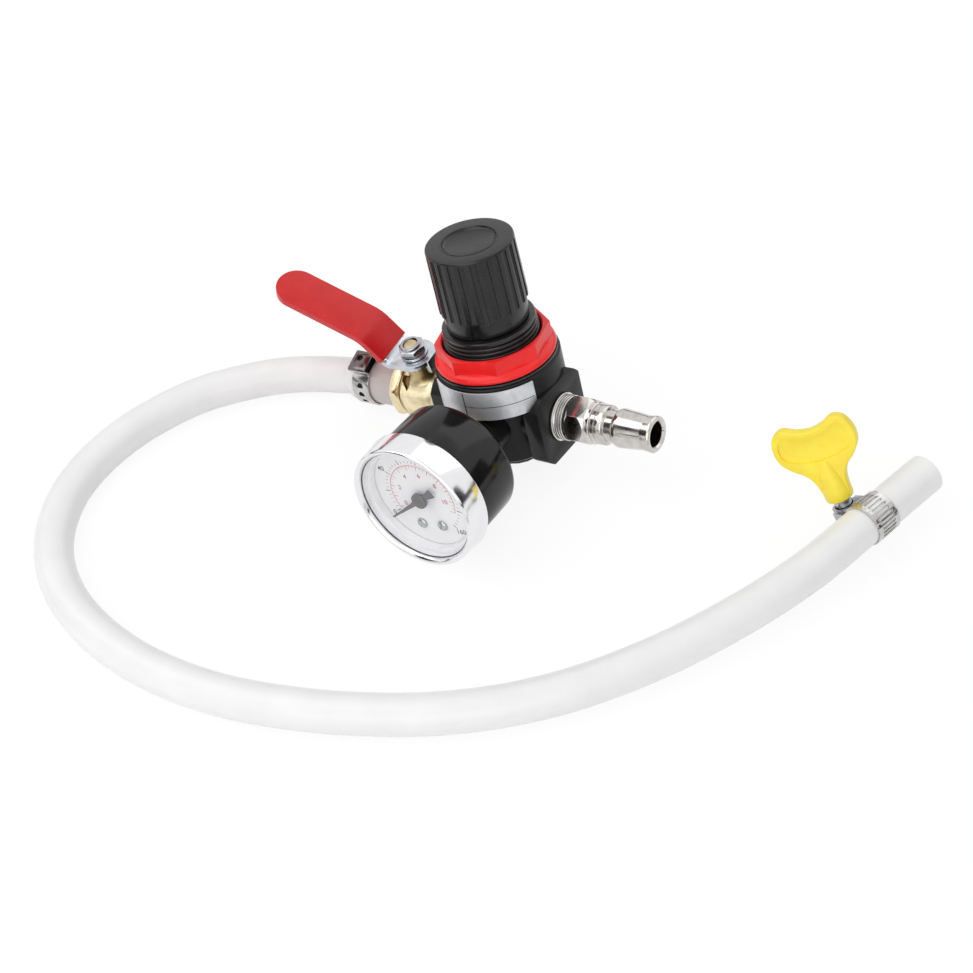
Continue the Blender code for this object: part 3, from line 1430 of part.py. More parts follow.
def air_plug():
    washer_bottom = PORT_FACE + GAP
    washer_top = washer_bottom + WASHER_THICKNESS
    hex_start = washer_top + GAP
    thread_start = PORT_FACE - PORT_DEPTH + GAP
    corner = PLUG_ACROSS / math.sqrt(3)
    plug = turned(
        "air_plug",
        [
            (0, PLUG_END),
            (PLUG_LIP_RADIUS - PLUG_LIP_EDGE, PLUG_END),
            (PLUG_LIP_RADIUS, PLUG_END - PLUG_LIP_EDGE),
            (PLUG_LIP_RADIUS, PLUG_END - 2 * PLUG_LIP_EDGE),
            (PLUG_NOSE_WAIST, PLUG_NOSE_WAIST_AT + PLUG_LIP_EDGE),
            (PLUG_NOSE_WAIST, PLUG_NOSE_WAIST_AT),
            (PLUG_NOSE_RADIUS, PLUG_NOSE_SHOULDER),
            (PLUG_NOSE_RADIUS - PLUG_LIP_EDGE, PLUG_NECK_END + PLUG_LIP_EDGE),
            (PLUG_NECK_RADIUS, PLUG_NECK_END),
            (PLUG_NECK_RADIUS, PLUG_COLLAR_END + PLUG_LIP_EDGE),
            (PLUG_COLLAR_RADIUS, PLUG_COLLAR_END),
            (PLUG_COLLAR_RADIUS, PLUG_SHOULDER_END + PLUG_LIP_EDGE),
            (PLUG_SHOULDER_RADIUS, PLUG_SHOULDER_END),
            (PLUG_SHOULDER_RADIUS, PLUG_HEX_END),
            (PLUG_SHOULDER_RADIUS, hex_start),
            (PORT_THREAD_RADIUS, hex_start),
            (PORT_THREAD_RADIUS, thread_start + PLUG_LIP_EDGE),
            (PORT_THREAD_RADIUS - PLUG_LIP_EDGE, thread_start),
            (0, thread_start),
        ],
        SMALL_STEPS,
        NICKEL,
        PLUG,
    )
    nut = prism(
        "plug_hexagon",
        hexagon(PLUG_ACROSS, hex_turn(PLUG_HEX_TURN)),
        hex_start,
        PLUG_HEX_END,
        None,
        PLUG,
    )
    chamfer = turned(
        "plug_chamfer",
        [
            (0, PLUG_HEX_END + OVERRUN),
            (PLUG_ACROSS / 2 - OVERRUN, PLUG_HEX_END + OVERRUN),
            (PLUG_ACROSS / 2, PLUG_HEX_END),
            (corner, PLUG_HEX_END - PLUG_CHAMFER),
            (corner, hex_start + PLUG_CHAMFER),
            (PLUG_ACROSS / 2, hex_start),
            (PLUG_ACROSS / 2 - OVERRUN, hex_start - OVERRUN),
            (0, hex_start - OVERRUN),
        ],
        SMALL_STEPS,
        None,
        PLUG,
    )
    keep_inside(nut, chamfer)
    join(plug, nut)
    bore = turned(
        "plug_bore",
        [
            (0, PLUG_END + OVERRUN),
            (PLUG_BORE_RADIUS, PLUG_END + OVERRUN),
            (PLUG_BORE_RADIUS, PLUG_END - PLUG_BORE_DEPTH),
            (PLUG_INNER_BORE, PLUG_END - PLUG_BORE_DEPTH - OVERRUN),
            (PLUG_INNER_BORE, thread_start - OVERRUN),
            (0, thread_start - OVERRUN),
        ],
        SMALL_STEPS,
        None,
        PLUG,
    )
    cut(plug, bore)
    ring(
        "plug_washer",
        PORT_THREAD_RADIUS + GAP,
        WASHER_RADIUS,
        washer_bottom,
        washer_top,
        SMALL_STEPS,
        WHITE_RESIN,
        PLUG,
    )


def hex_turn(angle):
    """Turns an angle seen in the regulator's YZ plane into one about the plug's own Z."""
    return angle - 90 * DEGREE


def valve_body():
    start = PORT_FACE + GAP
    tip = PORT_FACE - PORT_DEPTH + GAP
    corner = VALVE_ACROSS / math.sqrt(3)
    body = turned(
        "valve_body",
        [
            (0, HEX_END),
            (BARREL_RADIUS, HEX_END),
            (BARREL_RADIUS, BARREL_FROM),
            (VALVE_NECK_RADIUS, VALVE_NECK_END),
            (VALVE_NECK_RADIUS, start),
            (PORT_THREAD_RADIUS, start),
            (PORT_THREAD_RADIUS, tip + END_CHAMFER),
            (PORT_THREAD_RADIUS - END_CHAMFER, tip),
            (0, tip),
        ],
        SMALL_STEPS,
        CAST_BRASS,
        VALVE,
    )
    nut = prism(
        "valve_hexagon",
        hexagon(VALVE_ACROSS, valve_hex_turn()),
        HEX_FROM - HEX_CHAMFER_RISE,
        HEX_END,
        None,
        VALVE,
    )
    chamfer = turned(
        "valve_chamfer",
        [
            (0, HEX_END + OVERRUN),
            (corner - END_CHAMFER, HEX_END + OVERRUN),
            (corner, HEX_END - END_CHAMFER),
            (corner, HEX_FROM),
            (BARREL_RADIUS - END_CHAMFER, HEX_FROM - HEX_CHAMFER_RISE - END_CHAMFER),
            (0, HEX_FROM - HEX_CHAMFER_RISE - END_CHAMFER),
        ],
        SMALL_STEPS,
        None,
        VALVE,
    )
    keep_inside(nut, chamfer)
    boss = rod("stem_boss", STEM_BOSS_RADIUS, 0, STEM_BOSS_TOP, SMALL_STEPS, None, STEM)
    join(body, nut, boss)
    cavity = turned(
        "valve_cavity",
        [
            (0, HEX_END + OVERRUN),
            (CAVITY_RADIUS, HEX_END + OVERRUN),
            (CAVITY_RADIUS, CAVITY_FROM),
            (BALL_BORE, CAVITY_FROM),
            (BALL_BORE, tip - OVERRUN),
            (0, tip - OVERRUN),
        ],
        SMALL_STEPS,
        None,
        VALVE,
    )
    stem_bore = turned(
        "stem_bore",
        [
            (0, STEM_BOSS_TOP + OVERRUN),
            (PACKING_RADIUS + GAP, STEM_BOSS_TOP + OVERRUN),
            (PACKING_RADIUS + GAP, PACKING_BOTTOM - GAP),
            (STEM_RADIUS + GAP, PACKING_BOTTOM - GAP),
            (STEM_RADIUS + GAP, BALL_RADIUS / 2),
            (0, BALL_RADIUS / 2),
        ],
        SMALL_STEPS,
        None,
        STEM,
        turn=(0, 0, 2 * FACET_TURN),
    )
    cut(body, cavity, stem_bore)


def valve_hex_turn():
    return 180 * DEGREE - hex_turn(VALVE_HEX_TURN)


def seat_far():
    return 2 * VALVE_AT - CAVITY_FROM - GAP


def valve_end():
    start = HEX_END + GAP
    end = start + END_COLLAR_LENGTH
    insert = CAVITY_RADIUS - GAP
    insert_end = seat_far() + GAP
    corner = VALVE_ACROSS / math.sqrt(3)
    outline = [(0, BARB_END), (BARB_RADIUS - END_CHAMFER, BARB_END)]
    for i in range(BARBS):
        tip = BARB_END - END_CHAMFER - i * BARB_PITCH
        outline += [(BARB_RADIUS, tip), (BARB_RIDGE, tip - BARB_PITCH + END_CHAMFER)]
    outline += [
        (BARB_RADIUS, BARB_END - END_CHAMFER - BARBS * BARB_PITCH),
        (BARB_RADIUS, start),
        (insert, start),
        (insert, insert_end),
        (0, insert_end),
    ]
    made = turned("valve_end", outline, SMALL_STEPS, TURNED_BRASS, VALVE)
    collar = prism(
        "end_collar", hexagon(VALVE_ACROSS, valve_hex_turn()), start, end, None, VALVE
    )
    chamfer = turned(
        "end_chamfer",
        [
            (0, end + OVERRUN),
            (VALVE_ACROSS / 2 - OVERRUN, end + OVERRUN),
            (corner, end - END_CHAMFER),
            (corner, start - OVERRUN),
            (0, start - OVERRUN),
        ],
        SMALL_STEPS,
        None,
        VALVE,
    )
    keep_inside(collar, chamfer)
    join(made, collar)
    bore = rod(
        "barb_bore", BARB_BORE, insert_end - OVERRUN, BARB_END + OVERRUN, SMALL_STEPS, None, VALVE
    )
    cut(made, bore)


def ball_and_seats():
    frame = axis("ball_axis", STEM)
    shape = bmesh.new()
    bmesh.ops.create_uvsphere(
        shape, u_segments=SMALL_STEPS, v_segments=WIRE_STEPS, radius=BALL_RADIUS
    )
    ball = link("valve_ball", mesh_from(shape, "valve_ball"), CHROME, frame)
    bore = rod(
        "ball_bore",
        BALL_BORE,
        -BALL_RADIUS - OVERRUN,
        BALL_RADIUS + OVERRUN,
        SMALL_STEPS,
        None,
        frame,
        turn=(0, -90 * DEGREE, 0),
    )
    slot_floor = STEM_FOOT - TANG_DEPTH - GAP
    slot = box(
        "ball_slot",
        (TANG_LENGTH + 2 * GAP + OVERRUN, TANG_WIDTH + 2 * GAP, BALL_RADIUS),
        (0, 0, slot_floor + BALL_RADIUS / 2),
        None,
        frame,
    )
    cut(ball, bore, slot)
    outer = CAVITY_RADIUS - GAP
    near = CAVITY_FROM + GAP
    turned(
        "seat_inlet",
        [
            (SEAT_FACE_RADIUS, near + SEAT_LENGTH),
            (outer, near + SEAT_LENGTH),
            (outer, near),
            (SEAT_BORE, near),
            (SEAT_BORE, near + SEAT_LENGTH - SEAT_CONE),
        ],
        SMALL_STEPS,
        WHITE_RESIN,
        VALVE,
    )
    far = seat_far()
    turned(
        "seat_outlet",
        [
            (SEAT_BORE, far),
            (outer, far),
            (outer, far - SEAT_LENGTH),
            (SEAT_FACE_RADIUS, far - SEAT_LENGTH),
            (SEAT_BORE, far - SEAT_LENGTH + SEAT_CONE),
        ],
        SMALL_STEPS,
        WHITE_RESIN,
        VALVE,
    )


def stem_and_gland():
    stem = rod("valve_stem", STEM_RADIUS, STEM_FOOT, STEM_TOP, SMALL_STEPS, TURNED_BRASS, STEM)
    tang = box(
        "stem_tang",
        (TANG_LENGTH, TANG_WIDTH, TANG_DEPTH + OVERRUN),
        (0, 0, STEM_FOOT + (OVERRUN - TANG_DEPTH) / 2),
        None,
        STEM,
    )
    join(stem, tang)
    inner = STEM_RADIUS + GAP
    ring(
        "stem_packing",
        inner,
        PACKING_RADIUS,
        PACKING_BOTTOM,
        PACKING_BOTTOM + PACKING_HEIGHT,
        SMALL_STEPS,
        WHITE_RESIN,
        STEM,
    )
    gland_bottom = PACKING_BOTTOM + PACKING_HEIGHT + GAP
    head = STEM_BOSS_TOP + GAP
    gland = rod(
        "packing_gland", PACKING_RADIUS, gland_bottom, head + GAP, SMALL_STEPS, TURNED_BRASS, STEM
    )
    nut = prism("gland_hexagon", hexagon(GLAND_ACROSS), head, head + GLAND_HEIGHT, None, STEM)
    join(gland, nut)
    hole = rod(
        "gland_hole", inner, gland_bottom - OVERRUN, head + GLAND_HEIGHT + OVERRUN, SMALL_STEPS, None, STEM
    )
    cut(gland, hole)


def lever_place(travel, lift):
    """The point at a travel along the bent lever's middle plane, and at a lift above that plane."""
    out, up, heading, spent = 0.0, LEVER_BOTTOM + LEVER_THICKNESS / 2, 0.0, 0.0
    steps = max(1, round(abs(travel) / LEVER_STRIDE))
    stride = travel / steps
    first, second = LEVER_BEND_START, LEVER_BEND_START + LEVER_RISE_LENGTH
    for _ in range(steps):
        spent += stride
        heading = LEVER_RISE_ANGLE * eased(spent, first, LEVER_RISE_ANGLE)
        heading += (LEVER_GRIP_ANGLE - LEVER_RISE_ANGLE) * eased(
            spent, second, LEVER_RISE_ANGLE - LEVER_GRIP_ANGLE
        )
        out += stride * math.cos(heading)
        up += stride * math.sin(heading)
    return out - lift * math.sin(heading), up + lift * math.cos(heading)


def eased(spent, centre, angle):
    """How much of a bend lies behind: its arc has the bend radius."""
    half = LEVER_BEND_RADIUS * angle / 2
    return min(1.0, max(0.0, (spent - centre + half) / (2 * half)))


def bent_strip(name, half_width, thickness, start, end, round_start, round_end, finish, parent):
    """A strip along the lever: rows of rounded-rectangle sections, lofted and then bent."""
    travels = [start]
    first, second = LEVER_BEND_START, LEVER_BEND_START + LEVER_RISE_LENGTH
    for centre, angle in ((first, LEVER_RISE_ANGLE), (second, LEVER_RISE_ANGLE - LEVER_GRIP_ANGLE)):
        half = LEVER_BEND_RADIUS * angle / 2
        travels += [centre - half, centre, centre + half]
    travels.append(end)
    for i in range(ROUND_END_STEPS + 1):
        angle = i * math.pi / 2 / ROUND_END_STEPS
        if round_start:
            travels.append(start + round_start * (1 - math.cos(angle)))
        if round_end:
            travels.append(end - round_end * (1 - math.cos(angle)))
    travels = sorted(t for t in set(round(t, int(NINE_PLACES)) for t in travels) if start <= t <= end)
    shape = bmesh.new()
    rows = []
    for travel in travels:
        width = half_width
        if round_start and travel < start + round_start:
            width *= math.sqrt(max(0.0, 1 - (1 - (travel - start) / round_start) ** 2))
        if round_end and travel > end - round_end:
            width *= math.sqrt(max(0.0, 1 - (1 - (end - travel) / round_end) ** 2))
        width = max(width, thickness / 4)
        edge = min(SLEEVE_EDGE, thickness / 3, width / 2)
        section = [
            (-width, -thickness / 2 + edge),
            (-width + edge, -thickness / 2),
            (width - edge, -thickness / 2),
            (width, -thickness / 2 + edge),
            (width, thickness / 2 - edge),
            (width - edge, thickness / 2),
            (-width + edge, thickness / 2),
            (-width, thickness / 2 - edge),
        ]
        row = []
        for across, lift in section:
            out, up = lever_place(travel, lift)
            row.append(shape.verts.new((-out, across, up)))
        rows.append(row)
    for before, after in zip(rows, rows[1:]):
        for i in range(8):
            j = (i + 1) % 8
            shape.faces.new((before[i], before[j], after[j], after[i]))
    shape.faces.new(rows[0])
    shape.faces.new(rows[-1])
    return link(name, mesh_from(shape, name), finish, parent)


def valve_lever():
    frame = axis("lever_axis", STEM)
    lever = bent_strip(
        "valve_lever",
        LEVER_WIDTH / 2,
        LEVER_THICKNESS,
        -LEVER_END_RADIUS / 2,
        LEVER_LENGTH,
        0,
        LEVER_WIDTH / 2,
        ZINC,
        frame,
    )
    top = LEVER_BOTTOM + LEVER_THICKNESS
    eye = rod("lever_eye", LEVER_END_RADIUS, LEVER_BOTTOM, top, MEDIUM_STEPS, None, frame)
    reach = LEVER_END_RADIUS
    tab = box(
        "stop_tab",
        (LEVER_THICKNESS, STOP_TAB_WIDTH, STOP_TAB_DEPTH + LEVER_THICKNESS),
        (reach - LEVER_THICKNESS / 2, 0, top - (STOP_TAB_DEPTH + LEVER_THICKNESS) / 2),
        None,
        frame,
    )
    join(lever, eye, tab)
    hole = rod(
        "lever_hole", STEM_RADIUS + GAP, LEVER_BOTTOM - OVERRUN, top + OVERRUN, SMALL_STEPS, None, frame
    )
    cut(lever, hole)
    sleeve = bent_strip(
        "lever_sleeve",
        SLEEVE_WIDTH / 2,
        SLEEVE_THICKNESS,
        SLEEVE_START,
        LEVER_LENGTH + SLEEVE_TIP,
        0,
        SLEEVE_WIDTH / 2,
        RED_VINYL,
        frame,
    )
    pocket = bent_strip(
        "sleeve_pocket",
        LEVER_WIDTH / 2 + GAP,
        LEVER_THICKNESS + 2 * GAP,
        SLEEVE_START - OVERRUN,
        LEVER_LENGTH + GAP,
        0,
        LEVER_WIDTH / 2,
        None,
        frame,
    )
    cut(sleeve, pocket)
    washer_top = top + GAP + LEVER_WASHER_THICKNESS
    inner = STEM_RADIUS + GAP
    ring(
        "lever_washer",
        inner,
        LEVER_WASHER_RADIUS,
        top + GAP,
        washer_top,
        SMALL_STEPS,
        ZINC,
        frame,
    )
    low = washer_top + GAP
    high = low + LEVER_NUT_HEIGHT
    nut = prism("lever_nut", hexagon(LEVER_NUT_ACROSS, LEVER_NUT_TURN), low, high, ZINC, frame)
    collar = turned(
        "nut_collar",
        [
            (0, high + LEVER_NUT_COLLAR),
            (LEVER_NUT_COLLAR_RADIUS - LEVER_NUT_COLLAR / 2, high + LEVER_NUT_COLLAR),
            (LEVER_NUT_COLLAR_RADIUS, high + LEVER_NUT_COLLAR / 2),
            (LEVER_NUT_COLLAR_RADIUS, high - LEVER_NUT_COLLAR),
            (0, high - LEVER_NUT_COLLAR),
        ],
        SMALL_STEPS,
        None,
        frame,
    )
    thread = rod("lever_nut_hole", inner, low - OVERRUN, STEM_TOP + 2 * OVERRUN, SMALL_STEPS, None, frame)
    join(nut, collar)
    cut(nut, thread)


def hose_start():
    return HEX_END + 2 * GAP + END_COLLAR_LENGTH


def hose_path():
    """The hose's middle line, with its radius: straight over the barb, then along its route."""
    place = VALVE.matrix_world
    end = HOSE_STRAIGHT_END
    straight = [hose_start(), BARB_END - END_CHAMFER, (BARB_END + end) / 2]
    points = [place @ Vector((0, 0, z)) for z in straight]
    radii = [HOSE_SWELL, HOSE_SWELL, (HOSE_SWELL + HOSE_RADIUS) / 2]
    route = [place @ Vector((0, 0, end))] + [Vector(p) * MM for p in HOSE_ROUTE]
    free = smooth_through(route, HOSE_STEP)
    return points + free, radii + [HOSE_RADIUS] * len(free)


def hose():
    points, radii = hose_path()
    made = solid_mesh(wire("hose", points, radii, HOSE_SIDES, SILICONE, None))
    bore = rod(
        "hose_bore",
        BARB_RIDGE + GAP,
        hose_start() - OVERRUN,
        BARB_END + GAP,
        SMALL_STEPS,
        None,
        VALVE,
    )
    cut(made, bore)


def ear_clamp():
    """A band round the hose with one raised ear, its closed end on top."""
    inner = HOSE_SWELL + GAP
    outer = inner + EAR_BAND_THICKNESS
    half_angle = EAR_WIDTH / 2 / outer
    outline = []
    hollow = []
    for i in range(EAR_STEPS + 1):
        angle = half_angle + (2 * math.pi - 2 * half_angle) * i / EAR_STEPS
        outline.append((outer * math.cos(angle), outer * math.sin(angle)))
        hollow.append((inner * math.cos(angle), inner * math.sin(angle)))
    top = outer + EAR_HEIGHT
    wall = EAR_BAND_THICKNESS
    waist = EAR_WIDTH / 2 - wall
    outline += [
        (outer + wall, -waist),
        (top - wall, -EAR_WIDTH / 2),
        (top, -waist),
        (top, waist),
        (top - wall, EAR_WIDTH / 2),
        (outer + wall, waist),
    ]
    hollow += [
        (outer + wall, wall - waist),
        (top - 2 * wall, wall - waist),
        (top - wall, 2 * wall - waist),
        (top - wall, waist - 2 * wall),
        (top - 2 * wall, waist - wall),
        (outer + wall, waist - wall),
    ]
    low = EAR_CLAMP_AT - EAR_CLAMP_WIDTH / 2
    high = EAR_CLAMP_AT + EAR_CLAMP_WIDTH / 2
    frame = axis("ear_clamp_axis", VALVE, turn=(0, 0, -EAR_TURN))
    clamp = prism("ear_clamp", outline, low, high, STAINLESS, frame)
    space = prism("ear_clamp_space", hollow, low - OVERRUN, high + OVERRUN, None, frame)
    cut(clamp, space)


def key_clamp_frame():
    """Z along the hose, X out to the worm screw, Y up the screw towards the key."""
    points, _ = hose_path()
    left = KEY_CLAMP_FROM_END
    for before, after in reversed(list(zip(points, points[1:]))):
        along = (after - before).normalized()
        if left <= (after - before).length:
            break
        left -= (after - before).length
    centre = after - along * left
    side = Vector((0, 0, 1)).cross(along).normalized()
    upward = along.cross(side)
    outward = math.cos(KEY_CLAMP_ROLL) * side - math.sin(KEY_CLAMP_ROLL) * upward
    screw = math.sin(KEY_CLAMP_ROLL) * side + math.cos(KEY_CLAMP_ROLL) * upward
    place = Matrix((outward, screw, along)).transposed().to_4x4()
    place.translation = centre
    frame = axis("key_clamp_axis", None)
    frame.matrix_world = place
    return frame


def key_clamp():
    frame = key_clamp_frame()
    inner = HOSE_RADIUS + GAP
    outer = inner + BAND_THICKNESS
    band = ring(
        "key_clamp_band", inner, outer, -BAND_WIDTH / 2, BAND_WIDTH / 2, MEDIUM_STEPS, STAINLESS, frame
    )
    tail = box(
        "band_tail",
        (BAND_THICKNESS, BAND_TAIL, BAND_WIDTH),
        (outer - BAND_THICKNESS / 2, -BAND_TAIL / 2, 0),
        None,
        frame,
    )
    join(band, tail)
    screw_at = outer + GAP + WORM_RADIUS
    bore = WORM_RADIUS + GAP
    arch = bore + HOUSING_WALL
    base = outer + GAP
    length = 2 * HOUSING_HALF_LENGTH
    housing = box(
        "key_clamp_housing",
        (screw_at - base + OVERRUN, length, HOUSING_WIDTH),
        ((screw_at + base - OVERRUN) / 2, 0, 0),
        STAINLESS,
        frame,
    )
    shell = rod(
        "housing_arch",
        arch,
        -HOUSING_HALF_LENGTH,
        HOUSING_HALF_LENGTH,
        SMALL_STEPS,
        None,
        frame,
        (screw_at, 0, 0),
        (-90 * DEGREE, 0, 0),
    )
    join(housing, shell)
    worm_space = rod(
        "housing_bore",
        bore,
        -HOUSING_HALF_LENGTH - OVERRUN,
        HOUSING_HALF_LENGTH + OVERRUN,
        SMALL_STEPS,
        None,
        frame,
        (screw_at, 0, 0),
        (-90 * DEGREE, FACET_TURN, 0),
    )
    band_space = rod(
        "housing_saddle",
        outer + GAP,
        -HOUSING_WIDTH,
        HOUSING_WIDTH,
        MEDIUM_STEPS,
        None,
        frame,
        turn=(0, 0, FACET_TURN),
    )
    tail_space = box(
        "housing_tail_space",
        (BAND_THICKNESS + 2 * TAIL_GAP, length + OVERRUN, BAND_WIDTH + 2 * GAP),
        (outer - BAND_THICKNESS / 2, -length / 2, 0),
        None,
        frame,
    )
    cut(housing, worm_space, band_space, tail_space)
    turn = axis("key_axis", frame, (screw_at, 0, 0), (-90 * DEGREE, 0, 0))
    head_low = WORM_TOP
    head_high = head_low + WORM_HEAD_LENGTH
    screw = turned(
        "key_clamp_screw",
        [
            (0, head_high),
            (WORM_HEAD_RADIUS, head_high),
            (WORM_HEAD_RADIUS, head_low),
            (WORM_RADIUS, head_low),
            (WORM_RADIUS, WORM_BOTTOM),
            (0, WORM_BOTTOM),
        ],
        SMALL_STEPS,
        ZINC,
        turn,
    )
    flat = box(
        "worm_flat",
        (2 * WORM_HEAD_RADIUS + OVERRUN, WORM_HEAD_RADIUS, WORM_HEAD_LENGTH),
        (0, WORM_HEAD_RADIUS + GAP, head_high - WORM_HEAD_LENGTH / 2 + GAP),
        None,
        turn,
    )
    cut(screw, flat)
    clamp_key(turn, head_low, head_high)


def mirrored_outline(shares):
    """A smooth outline from one half's shares of the key's half width and height, mirrored."""
    half = [Vector((x * KEY_HALF_WIDTH, z * KEY_HEIGHT, 0)) for x, z in shares]
    fine = smooth_through(half, KEY_OUTLINE_STEP)
    points = [(p.x, p.y) for p in fine]
    return points + [(-x, z) for x, z in reversed(points) if x > GAP]


def clamp_key(turn, head_low, head_high):
    base = head_low + GAP
    flat = (90 * DEGREE, 0, KEY_TURN)
    half = KEY_THICKNESS / 2
    frame = axis("key_face_axis", turn, (0, 0, base), flat)
    key = prism("clamp_key", mirrored_outline(KEY_OUTLINE_SHARES), -half, half, YELLOW_PLASTIC, frame)
    round_edges(key, KEY_EDGE, segments=2)
    depth = KEY_STEM_THICKNESS / 2
    stem = turned(
        "key_stem",
        [(across * depth, up * KEY_HEIGHT) for across, up in KEY_STEM_SHARES]
        + [(depth, KEY_EDGE / 2), (depth - KEY_EDGE / 2, 0), (0, 0)],
        SMALL_STEPS,
        None,
        turn,
        (0, 0, base),
        (0, 0, FACET_TURN),
    )
    join(key, stem)
    socket = rod(
        "key_socket",
        WORM_HEAD_RADIUS + GAP,
        -OVERRUN,
        head_high - base + GAP,
        SMALL_STEPS,
        None,
        turn,
        (0, 0, base),
    )
    cut(key, socket)
    outline = mirrored_outline(KEY_PANEL_SHARES)
    for side, low, high in (
        ("front", half - KEY_PANEL_DEPTH, half + OVERRUN),
        ("back", -half - OVERRUN, KEY_PANEL_DEPTH - half),
    ):
        cut(key, prism(f"key_panel_{side}", outline, low, high, None, frame))


regulator_body()
label_shape("label_band", 0, 0, SILVER_FILM)
bonnet()
panel_nut()
knob()
adjusting_screw()
spring_seat()
main_spring()
diaphragm()
pressure_plate()
poppet()
poppet_spring()
bottom_cap()
rear_port_plug()
gauge_case()
gauge_bezel()
gauge_lens()
gauge_dial()
gauge_pointer()
gauge_sector()
movement_frame()
gauge_socket()
bourdon_tube()
air_plug()
valve_body()
valve_end()
ball_and_seats()
stem_and_gland()
valve_lever()
ear_clamp()
bpy.context.view_layer.update()
hose()
key_clamp()
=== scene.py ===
import json
import math

import bpy
from mathutils import Euler, Matrix, Vector


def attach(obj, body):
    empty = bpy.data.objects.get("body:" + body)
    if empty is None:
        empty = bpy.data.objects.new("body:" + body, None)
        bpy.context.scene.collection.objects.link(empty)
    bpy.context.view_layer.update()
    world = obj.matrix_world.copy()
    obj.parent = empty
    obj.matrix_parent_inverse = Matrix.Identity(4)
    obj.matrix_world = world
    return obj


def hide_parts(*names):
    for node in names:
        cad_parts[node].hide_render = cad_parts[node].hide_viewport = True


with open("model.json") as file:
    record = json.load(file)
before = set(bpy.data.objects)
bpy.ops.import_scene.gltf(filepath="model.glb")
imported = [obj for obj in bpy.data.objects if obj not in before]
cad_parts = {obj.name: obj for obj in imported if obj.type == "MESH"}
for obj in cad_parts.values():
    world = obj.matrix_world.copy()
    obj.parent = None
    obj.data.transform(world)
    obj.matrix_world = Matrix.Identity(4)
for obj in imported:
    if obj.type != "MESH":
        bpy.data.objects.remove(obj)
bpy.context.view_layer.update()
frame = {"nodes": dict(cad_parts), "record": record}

MM = 0.001
RECORD = frame["record"]
BODY_OF = {node: body for body, nodes in RECORD["behaviour"]["bodies"].items() for node in nodes}
SLOT_OF = {part["node"]: part["material_slot"] for part in RECORD["subparts"]}


def rotation(axis, degrees):
    """A turn round one axis."""
    return Matrix.Rotation(math.radians(degrees), 4, axis)


def shift(x, y, z):
    """A move in millimetres."""
    return Matrix.Translation((x * MM, y * MM, z * MM))


def tilt(degrees):
    """A turn round x, then y, then z."""
    return Euler([math.radians(part) for part in degrees]).to_matrix().to_4x4()


# The part's frames, as in the CAD source: each has its z along the axis it is named after
DIAL_TURN = 6.4
REGULATOR = Matrix.Translation(Vector((14.96, 17.87, 18.643)) * MM) @ tilt((-4.09, -9.82, 0))
GAUGE = REGULATOR @ rotation("X", 90)
PLUG = REGULATOR @ rotation("Y", 90)
VALVE = REGULATOR @ rotation("Y", -90)
STEM = REGULATOR @ shift(-31.6, 0, 0) @ rotation("X", 10)
STEM_IN_VALVE = VALVE.inverted() @ STEM
EAR = VALVE @ rotation("Z", -23)
DIAL = GAUGE @ rotation("Z", DIAL_TURN)
POINTER = GAUGE @ rotation("Z", DIAL_TURN + 210)
KNOB = REGULATOR @ shift(0, 0, 33.4)
CLAMP = Matrix((
    (-0.808661, -0.511432, 0.290699, 0.134462),
    (0.265118, 0.124293, 0.956171, 0.029115),
    (-0.525148, 0.850287, 0.035078, 0.010953),
    (0, 0, 0, 1),
))
KEY_TURN = CLAMP @ shift(10.25, 0, 0) @ rotation("X", -90)
KEY_FACE = KEY_TURN @ shift(0, 0, 6.7) @ rotation("Z", 35) @ rotation("X", 90)

# Camera, at the photograph's angle
lens = bpy.data.cameras.new("camera")
lens.lens = 65.03
lens.sensor_width = 36
lens.clip_start = 0.01
camera = bpy.data.objects.new("camera", lens)
camera.matrix_world = Matrix((
    (0.84562, -0.31183, 0.43324, 0.26130),
    (0.52346, 0.64334, -0.55866, -0.31804),
    (-0.10451, 0.69919, 0.70725, 0.40041),
    (0, 0, 0, 1),
))
bpy.context.scene.collection.objects.link(camera)
bpy.context.scene.camera = camera
bpy.context.scene.view_settings.view_transform = "Standard"


class Value:
    """A number in a tree of nodes: sums and products of it add Math nodes."""

    def __init__(self, nodes, socket):
        self.nodes = nodes
        self.socket = socket

    def __add__(self, other):
        return self.nodes.math("ADD", self, other)

    def __sub__(self, other):
        return self.nodes.math("SUBTRACT", self, other)

    def __rsub__(self, other):
        return self.nodes.math("SUBTRACT", other, self)

    def __mul__(self, other):
        return self.nodes.math("MULTIPLY", self, other)

    def __truediv__(self, other):
        return self.nodes.math("DIVIDE", self, other)

    def __gt__(self, other):
        return self.nodes.math("GREATER_THAN", self, other)

    def __lt__(self, other):
        return self.nodes.math("LESS_THAN", self, other)

    def __abs__(self):
        return self.nodes.math("ABSOLUTE", self)

    __radd__ = __add__
    __rmul__ = __mul__


